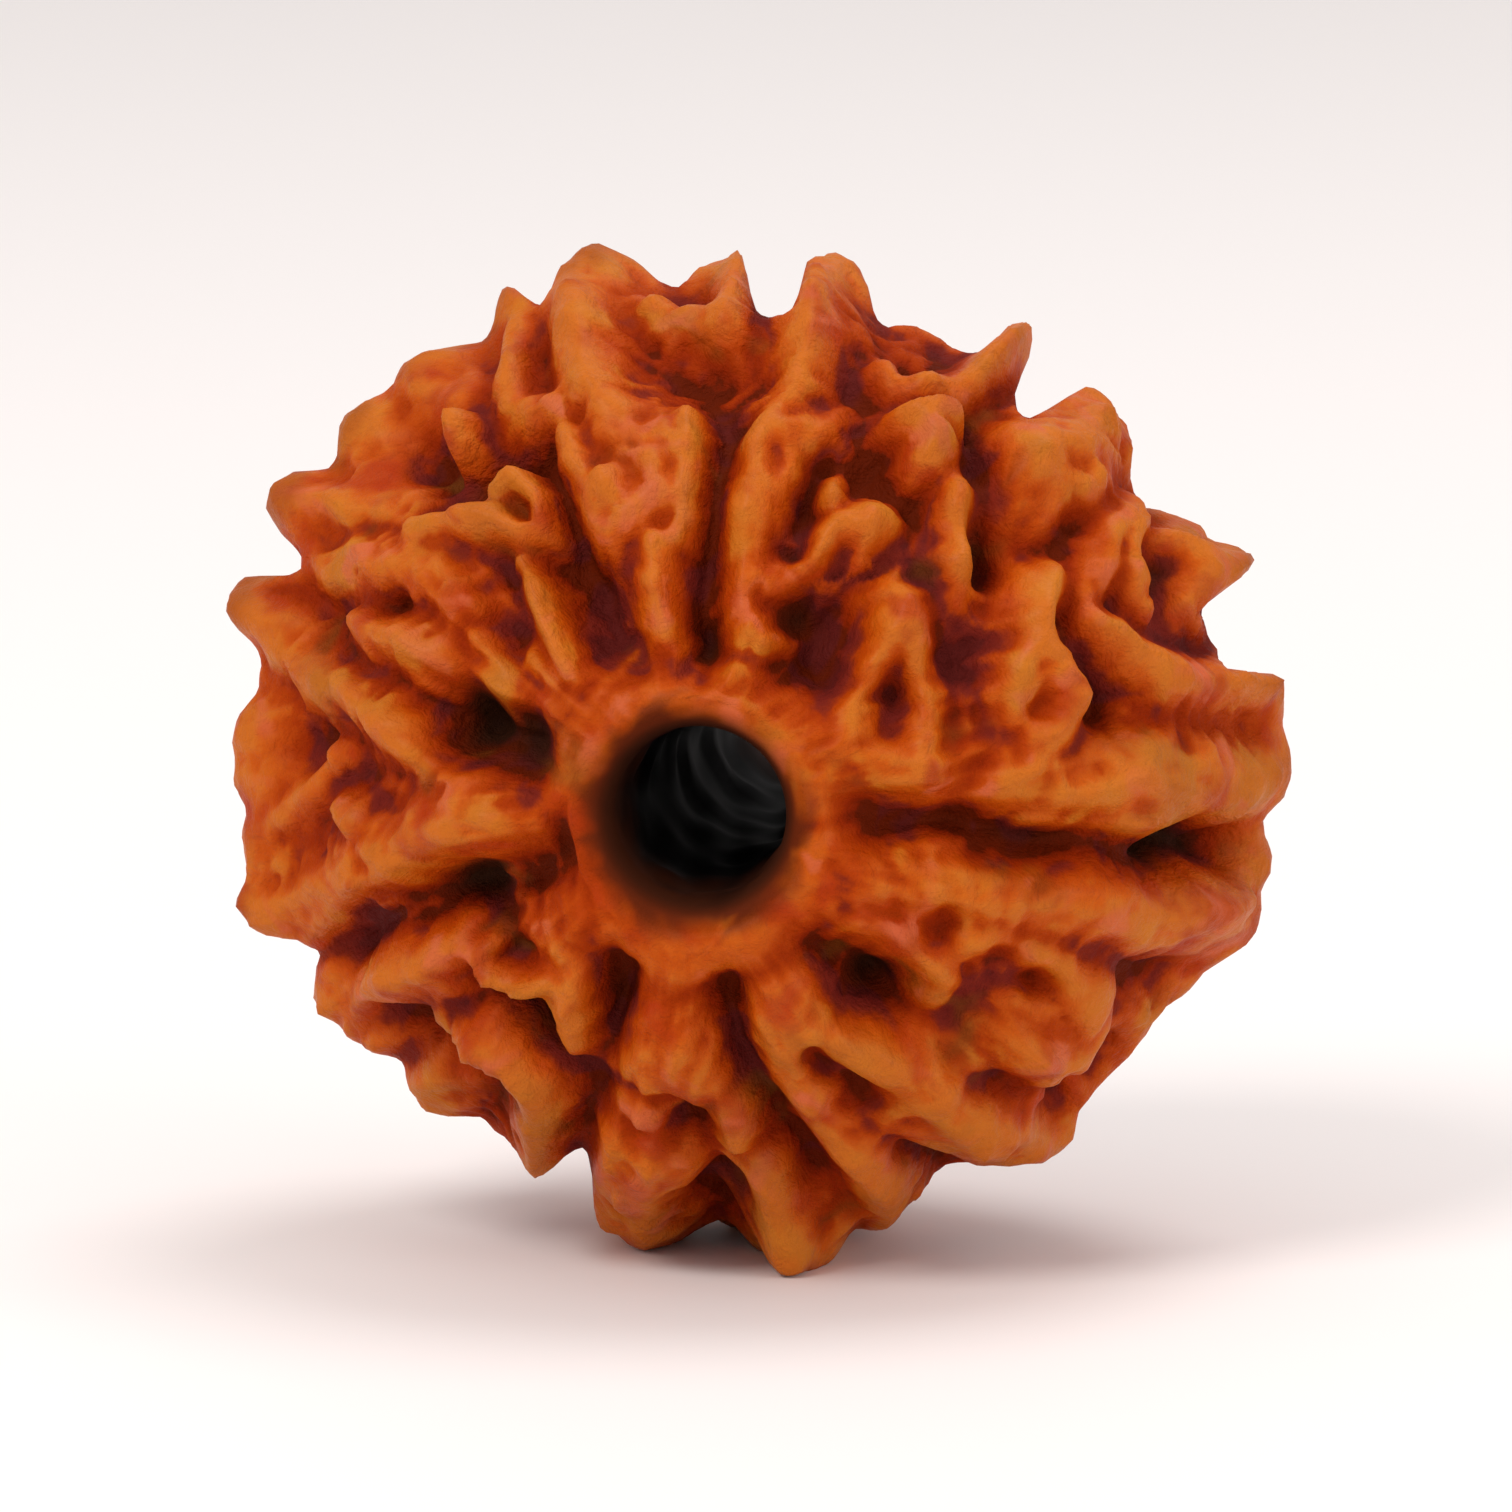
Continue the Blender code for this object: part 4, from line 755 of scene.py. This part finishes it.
# colours and finish of the shell, all colours linear
beadColours = {
    # the ramp paints shade: darkest in the deepest recesses, lightest on the highest crests
    "ramp": [                  # from the deepest recess to the highest crest
        (0.00, (0.110, 0.010, 0.001)),
        (0.06, (0.190, 0.014, 0.001)),
        (0.20, (0.260, 0.020, 0.001)),
        (0.42, (0.340, 0.034, 0.001)),
        (0.62, (0.425, 0.054, 0.001)),
        (0.84, (0.500, 0.085, 0.003)),
        (1.00, (0.525, 0.125, 0.010)),
    ],
    "ochre": (0.520, 0.155, 0.012),
    "red": (0.360, 0.026, 0.003),
    # painted shade: a purple tint in the recesses
    "bruise": (0.095, 0.011, 0.013),
    # painted shade: an olive tint in darker patches
    "olive": (0.190, 0.055, 0.006),
    # partly a hue of the shell, partly painted sheen on the crests
    "salmon": (0.560, 0.110, 0.042),
    # painted shade on the tips along the outline
    "tip": (0.190, 0.024, 0.002),
    # painted shade: near black in the deepest pits
    "pit": (0.020, 0.008, 0.003),
    # painted shade of the hole: brown on the lip, darker on the wall inside, black deep in the
    # bore
    "mouth": (0.110, 0.016, 0.003),
    "wall": (0.048, 0.012, 0.005),
    "bore": (0.003, 0.002, 0.002),
    "roughness": (0.62, 0.40),     # dull recesses, oily crests
    "coat": 0.12,
    "coatRoughness": 0.40,
    "specular": 0.03,
    "lumps": (1300.0, 4.0, 0.65, 0.5),    # grain: scale, detail, roughness, distortion
    "lumpHeight": 0.40,            # mm
    "pores": (3600.0, 3.0, 0.65, 0.0),
    "poreHeight": 0.16,
    "bump": 0.6,
}

# noises that the colours follow: scale, detail, roughness, distortion
shellNoises = {
    "patches": (260.0, 3.0, 0.6, 0.4),
    "blotches": (480.0, 2.0, 0.5, 0.8),
    "speckle": (1500.0, 3.0, 0.6, 0.0),
    "hues": (520.0, 2.0, 0.5, 0.3),
}

# tone = base + what each of these adds over a range of its values - painted shading; crest, cut,
# fine and broad paint shade into grooves, hollows and creases and make crests and edges lighter
baseTone = 0.36
toneParts = [
    ("crest", 0.25, 1.25, 0.0, 0.34),
    ("cut", 0.1, 1.3, 0.0, -0.26),
    ("fine", -0.09, 0.09, -0.22, 0.18),
    ("broad", -0.8, 0.8, -0.24, 0.24),
    ("patches", 0.3, 0.7, -0.08, 0.08),
    ("speckle", 0.3, 0.7, -0.07, 0.07),
]

# fields whose edges a noise makes ragged, by plus or minus the last number
raggedFields = {
    "raggedLip": ("bore", "blotches", 0.35),
    "raggedDepth": ("depth", "patches", 1.2),
}

# colours laid over the ramp in turn, each as strong as the product of its masks; the purple and
# olive tints of the low tones and the tip, pit, mouth, wall and bore colours are painted shade,
# and the salmon of the high tones is partly painted sheen
colourLayers = [
    ("ochre", ("hues", 0.52, 0.74, 0.0, 0.8), ("tone", 0.5, 0.75)),
    ("red", ("hues", 0.48, 0.30, 0.0, 0.7), ("tone", 0.35, 0.6)),
    ("bruise", ("tone", 0.55, 0.25), ("blotches", 0.48, 0.60, 0.0, 0.6)),
    ("olive", ("patches", 0.58, 0.70, 0.0, 0.55), ("tone", 0.9, 0.5)),
    ("salmon", ("blotches", 0.45, 0.28, 0.0, 0.7), ("tone", 0.6, 0.8)),
    ("tip", ("tall", 14.2, 15.2, 0.0, 0.45), ("fine", 0.0, 0.08)),
    ("pit", ("cut", 0.95, 1.7, 0.0, 0.9)),
    ("mouth", ("raggedLip", -0.3, 0.9)),
    ("wall", ("bore", 0.6, 1.15)),
    ("bore", ("raggedDepth", -0.8, 3.0)),
]


# a node, with values for the sockets that are named
def addNode(tree, kind, place, values=None, **settings):
    node = tree.nodes.new(kind)
    node.location = place
    for name, value in settings.items():
        setattr(node, name, value)
    for name, value in (values or {}).items():
        node.inputs[name].default_value = value
    return node


# a colour ramp with a stop for each position and colour
def makeRamp(tree, place, stops):
    node = addNode(tree, "ShaderNodeValToRGB", place)
    ramp = node.color_ramp
    while len(ramp.elements) < len(stops):
        ramp.elements.new(0.5)
    for element, (position, colour) in zip(ramp.elements, stops):
        element.position = position
        element.color = (*colour, 1.0)
    return node


# one operation on sockets and numbers
def calculate(tree, operation, place, *terms):
    node = addNode(tree, "ShaderNodeMath", place, operation=operation)
    for socket, term in zip(node.inputs, terms):
        if isinstance(term, (int, float)):
            socket.default_value = term
        else:
            tree.links.new(term, socket)
    return node.outputs[0]


# under + factor * (over - under), where over is a plain colour
def mixColour(tree, place, factor, under, over):
    node = addNode(tree, "ShaderNodeMix", place, data_type="RGBA")
    factorIn, underIn, overIn = node.inputs[0], node.inputs[6], node.inputs[7]
    tree.links.new(factor, factorIn)
    tree.links.new(under, underIn)
    overIn.default_value = (*over, 1.0)
    return node.outputs[2]


# an eased step from toLow to toHigh while the value goes from low to high
def rescale(tree, place, value, low, high, toLow=0.0, toHigh=1.0):
    node = addNode(tree, "ShaderNodeMapRange", place, interpolation_type="SMOOTHSTEP",
                   values={"From Min": low, "From Max": high, "To Min": toLow, "To Max": toHigh})
    tree.links.new(value, node.inputs["Value"])
    return node.outputs["Result"]


# noise between 0 and 1, from its scale, detail, roughness and distortion
def noiseValue(tree, place, coordinates, settings):
    names = ("Scale", "Detail", "Roughness", "Distortion")
    node = addNode(tree, "ShaderNodeTexNoise", place, values=dict(zip(names, settings)))
    tree.links.new(coordinates, node.inputs["Vector"])
    return node.outputs["Fac"]


# a field of the mesh
def fieldValue(tree, place, name):
    node = addNode(tree, "ShaderNodeAttribute", place, attribute_name=name)
    return node.outputs["Fac"]


# colour of the shell = ramp over the tone, then the layers; the tone put out is 0 in the bore
def shellColourGroup(colours):
    tree = bpy.data.node_groups.new("shellColour", "ShaderNodeTree")
    for name, kind in (("Color", "NodeSocketColor"), ("Tone", "NodeSocketFloat")):
        tree.interface.new_socket(name, in_out="OUTPUT", socket_type=kind)
    out = addNode(tree, "NodeGroupOutput", (2900, 0))
    where = addNode(tree, "ShaderNodeTexCoord", (-1600, -900)).outputs["Object"]
    value = {}
    fieldNames = ("crest", "cut", "fine", "broad", "tall", "bore", "paintedShading", "depth")
    for i, name in enumerate(fieldNames):
        value[name] = fieldValue(tree, (-1400, 600 - 160 * i), name)
    for i, (name, settings) in enumerate(shellNoises.items()):
        value[name] = noiseValue(tree, (-1400, -800 - 240 * i), where, settings)

    tone = baseTone
    for i, (name, *span) in enumerate(toneParts):
        part = rescale(tree, (-1100, 600 - 240 * i), value[name], *span)
        tone = calculate(tree, "ADD", (-800 + 120 * i, 600), part, tone)
    # the painted shade round the mouth and the painted shade and light of the patches, made
    # uneven by the blotches, come off the tone
    uneven = rescale(tree, (-400, 300), value["blotches"], 0.3, 0.7, 0.6, 1.3)
    paintedShading = calculate(tree, "MULTIPLY", (-200, 400), value["paintedShading"], uneven)
    tone = calculate(tree, "SUBTRACT", (0, 600), tone, paintedShading)
    tone = calculate(tree, "MAXIMUM", (120, 600), tone, 0.0)
    tone = calculate(tree, "MINIMUM", (240, 600), tone, 1.0)
    value["tone"] = tone
    for i, (name, (field, noise, swing)) in enumerate(raggedFields.items()):
        rough = rescale(tree, (0, -300 - 240 * i), value[noise], 0.3, 0.7, -swing, swing)
        value[name] = calculate(tree, "ADD", (200, -300 - 240 * i), value[field], rough)

    ramp = makeRamp(tree, (400, 600), colours["ramp"])
    tree.links.new(tone, ramp.inputs["Fac"])
    colour = ramp.outputs["Color"]
    for i, (name, *masks) in enumerate(colourLayers):
        x = 600 + 220 * i
        steps = [rescale(tree, (x, -240 * j), value[source], *span)
                 for j, (source, *span) in enumerate(masks)]
        strength = steps[0]
        for step in steps[1:]:
            strength = calculate(tree, "MULTIPLY", (x, 240), strength, step)
        colour = mixColour(tree, (x + 60, 480), strength, colour, colours[name])
    tree.links.new(colour, out.inputs["Color"])
    dry = rescale(tree, (2500, -700), value["bore"], 0.6, 0.1)
    gloss = calculate(tree, "MULTIPLY", (2700, -500), tone, dry)
    tree.links.new(gloss, out.inputs["Tone"])
    return tree


# height of the grain in metres = lumps + pores, and none in the bore
def shellGrainGroup(colours):
    tree = bpy.data.node_groups.new("shellGrain", "ShaderNodeTree")
    tree.interface.new_socket("Height", in_out="OUTPUT", socket_type="NodeSocketFloat")
    out = addNode(tree, "NodeGroupOutput", (600, 0))
    where = addNode(tree, "ShaderNodeTexCoord", (-600, 0)).outputs["Object"]
    lumps = noiseValue(tree, (-400, 100), where, colours["lumps"])
    pores = noiseValue(tree, (-400, -100), where, colours["pores"])
    lumps = calculate(tree, "MULTIPLY", (-200, 100), lumps, colours["lumpHeight"] * mm)
    pores = calculate(tree, "MULTIPLY", (-200, -100), pores, colours["poreHeight"] * mm)
    height = calculate(tree, "ADD", (0, 0), lumps, pores)
    dry = rescale(tree, (0, -300), fieldValue(tree, (-200, -300), "bore"), 0.9, 0.2)
    height = calculate(tree, "MULTIPLY", (300, 0), height, dry)
    tree.links.new(height, out.inputs["Height"])
    return tree


# roughness and coat follow the tone: dull recesses, oily crests
def shellMaterial(colours):
    material = bpy.data.materials.new("shellSkin")
    material.use_nodes = True
    tree = material.node_tree
    surface = tree.nodes["Principled BSDF"]
    paint = addNode(tree, "ShaderNodeGroup", (-600, 200), node_tree=shellColourGroup(colours))
    grain = addNode(tree, "ShaderNodeGroup", (-600, -200), node_tree=shellGrainGroup(colours))
    bump = addNode(tree, "ShaderNodeBump", (-300, -200),
                   values={"Strength": colours["bump"], "Distance": 1.0})
    tree.links.new(grain.outputs["Height"], bump.inputs["Height"])
    tree.links.new(bump.outputs["Normal"], surface.inputs["Normal"])
    tree.links.new(paint.outputs["Color"], surface.inputs["Base Color"])
    tone = paint.outputs["Tone"]
    rough = rescale(tree, (-300, 0), tone, 0.2, 0.8, *colours["roughness"])
    tree.links.new(rough, surface.inputs["Roughness"])
    oil = rescale(tree, (-300, -80), tone, 0.35, 0.95, 0.0, colours["coat"])
    tree.links.new(oil, surface.inputs["Coat Weight"])
    surface.inputs["Coat Roughness"].default_value = colours["coatRoughness"]
    surface.inputs["Specular IOR Level"].default_value = colours["specular"]
    return material


print("making the bead")
beadPoints, beadFields = makeBead(beadForm, beadSkin, beadMarks)
bead = meshFromSheet("beadSkin", beadPoints, True, beadFields)
print("making its material")
bead.data.materials.append(shellMaterial(beadColours))
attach(bead, "root")
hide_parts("bead")


# floor and light, in metres
studio = {
    "floorRings": [0.0, 0.02, 0.1, 0.4],
    "floorRadius": 1.4,
    "floorRise": 0.4,          # radius of the quarter circle at its edge
    "floorColour": (0.90, 0.86, 0.85),
    "floorRoughness": 0.6,
    "skyColour": (1.0, 0.975, 0.965),
    "skyStrength": 0.72,
    "lightTarget": (0, 0, 0.014),
    "lights": [                # name, place, size, power and colour
        ("keyLight", (-0.22, -0.34, 0.42), 0.22, 1.4, (1.0, 0.97, 0.93)),
        ("topLight", (0.10, 0.12, 0.50), 0.26, 0.8, (1.0, 0.98, 0.97)),
        ("sideLight", (0.42, -0.18, 0.16), 0.20, 0.35, (1.0, 0.96, 0.95)),
    ],
}


# floor of rings: flat, then rising as a quarter circle at its edge
def makeFloor(settings):
    turn = np.linspace(0.0, 2.0 * np.pi, 96, endpoint=False)[:, None]
    bend = np.linspace(0.0, 0.5 * np.pi, 12)
    rings, rise = settings["floorRings"], settings["floorRise"]
    radius = np.concatenate([rings, settings["floorRadius"] + rise * np.sin(bend)])
    height = np.concatenate([np.zeros(len(rings)), rise * (1.0 - np.cos(bend))])
    points = np.stack([radius * np.cos(turn), radius * np.sin(turn), height + 0.0 * turn],
                      axis=-1)
    piece = meshFromSheet("studioFloor", points, False, {})
    material = bpy.data.materials.new("floorPaper")
    material.use_nodes = True
    surface = material.node_tree.nodes["Principled BSDF"]
    surface.inputs["Base Color"].default_value = (*settings["floorColour"], 1.0)
    surface.inputs["Roughness"].default_value = settings["floorRoughness"]
    piece.data.materials.append(material)


# a soft round light, turned towards the target
def addLight(target, name, place, size, power, colour):
    lamp = bpy.data.lights.new(name, "AREA")
    lamp.shape = "DISK"
    lamp.size = size
    lamp.energy = power
    lamp.color = colour
    holder = bpy.data.objects.new(name, lamp)
    holder.location = place
    holder.rotation_euler = (Vector(target) - Vector(place)).to_track_quat("-Z", "Y").to_euler()
    bpy.context.scene.collection.objects.link(holder)


print("making the studio")
makeFloor(studio)
for light in studio["lights"]:
    addLight(studio["lightTarget"], *light)

world = bpy.data.worlds.new("studioSky")
world.use_nodes = True
sky = world.node_tree.nodes["Background"]
sky.inputs["Color"].default_value = (*studio["skyColour"], 1.0)
sky.inputs["Strength"].default_value = studio["skyStrength"]
bpy.context.scene.world = world
bpy.context.scene.view_settings.view_transform = "Standard"

photoCamera = {
    "azimuth": 9.5,
    "elevation": 9.0,
    "distance": 300.0,
    "frameWidth": 42.235,      # what the frame takes in at the bead, mm
    "aim": (0.0, 0.0, 13.75),
    "slide": (-0.03, 0.08),    # to the right and up, mm
    "sensor": 36.0,
}


# camera = aim + distance * back, slid a little in its own plane
def makeCamera(settings):
    turn = math.radians(settings["azimuth"])
    tilt = math.radians(settings["elevation"])
    back = Vector((math.sin(turn) * math.cos(tilt), -math.cos(turn) * math.cos(tilt),
                   math.sin(tilt)))
    right = Vector((math.cos(turn), math.sin(turn), 0.0))
    up = back.cross(right)
    slideRight, slideUp = settings["slide"]
    lens = bpy.data.cameras.new("photoCamera")
    lens.sensor_width = settings["sensor"]
    lens.lens = settings["sensor"] * settings["distance"] / settings["frameWidth"]
    lens.clip_start = 0.01
    lens.clip_end = 10.0
    camera = bpy.data.objects.new("photoCamera", lens)
    place = (Vector(settings["aim"]) + back * settings["distance"] + right * slideRight
             + up * slideUp)
    camera.matrix_world = (Matrix.Translation(place * mm)
                           @ Matrix((right, up, back)).transposed().to_4x4())
    bpy.context.scene.collection.objects.link(camera)
    bpy.context.scene.camera = camera


print("placing the camera")
makeCamera(photoCamera)
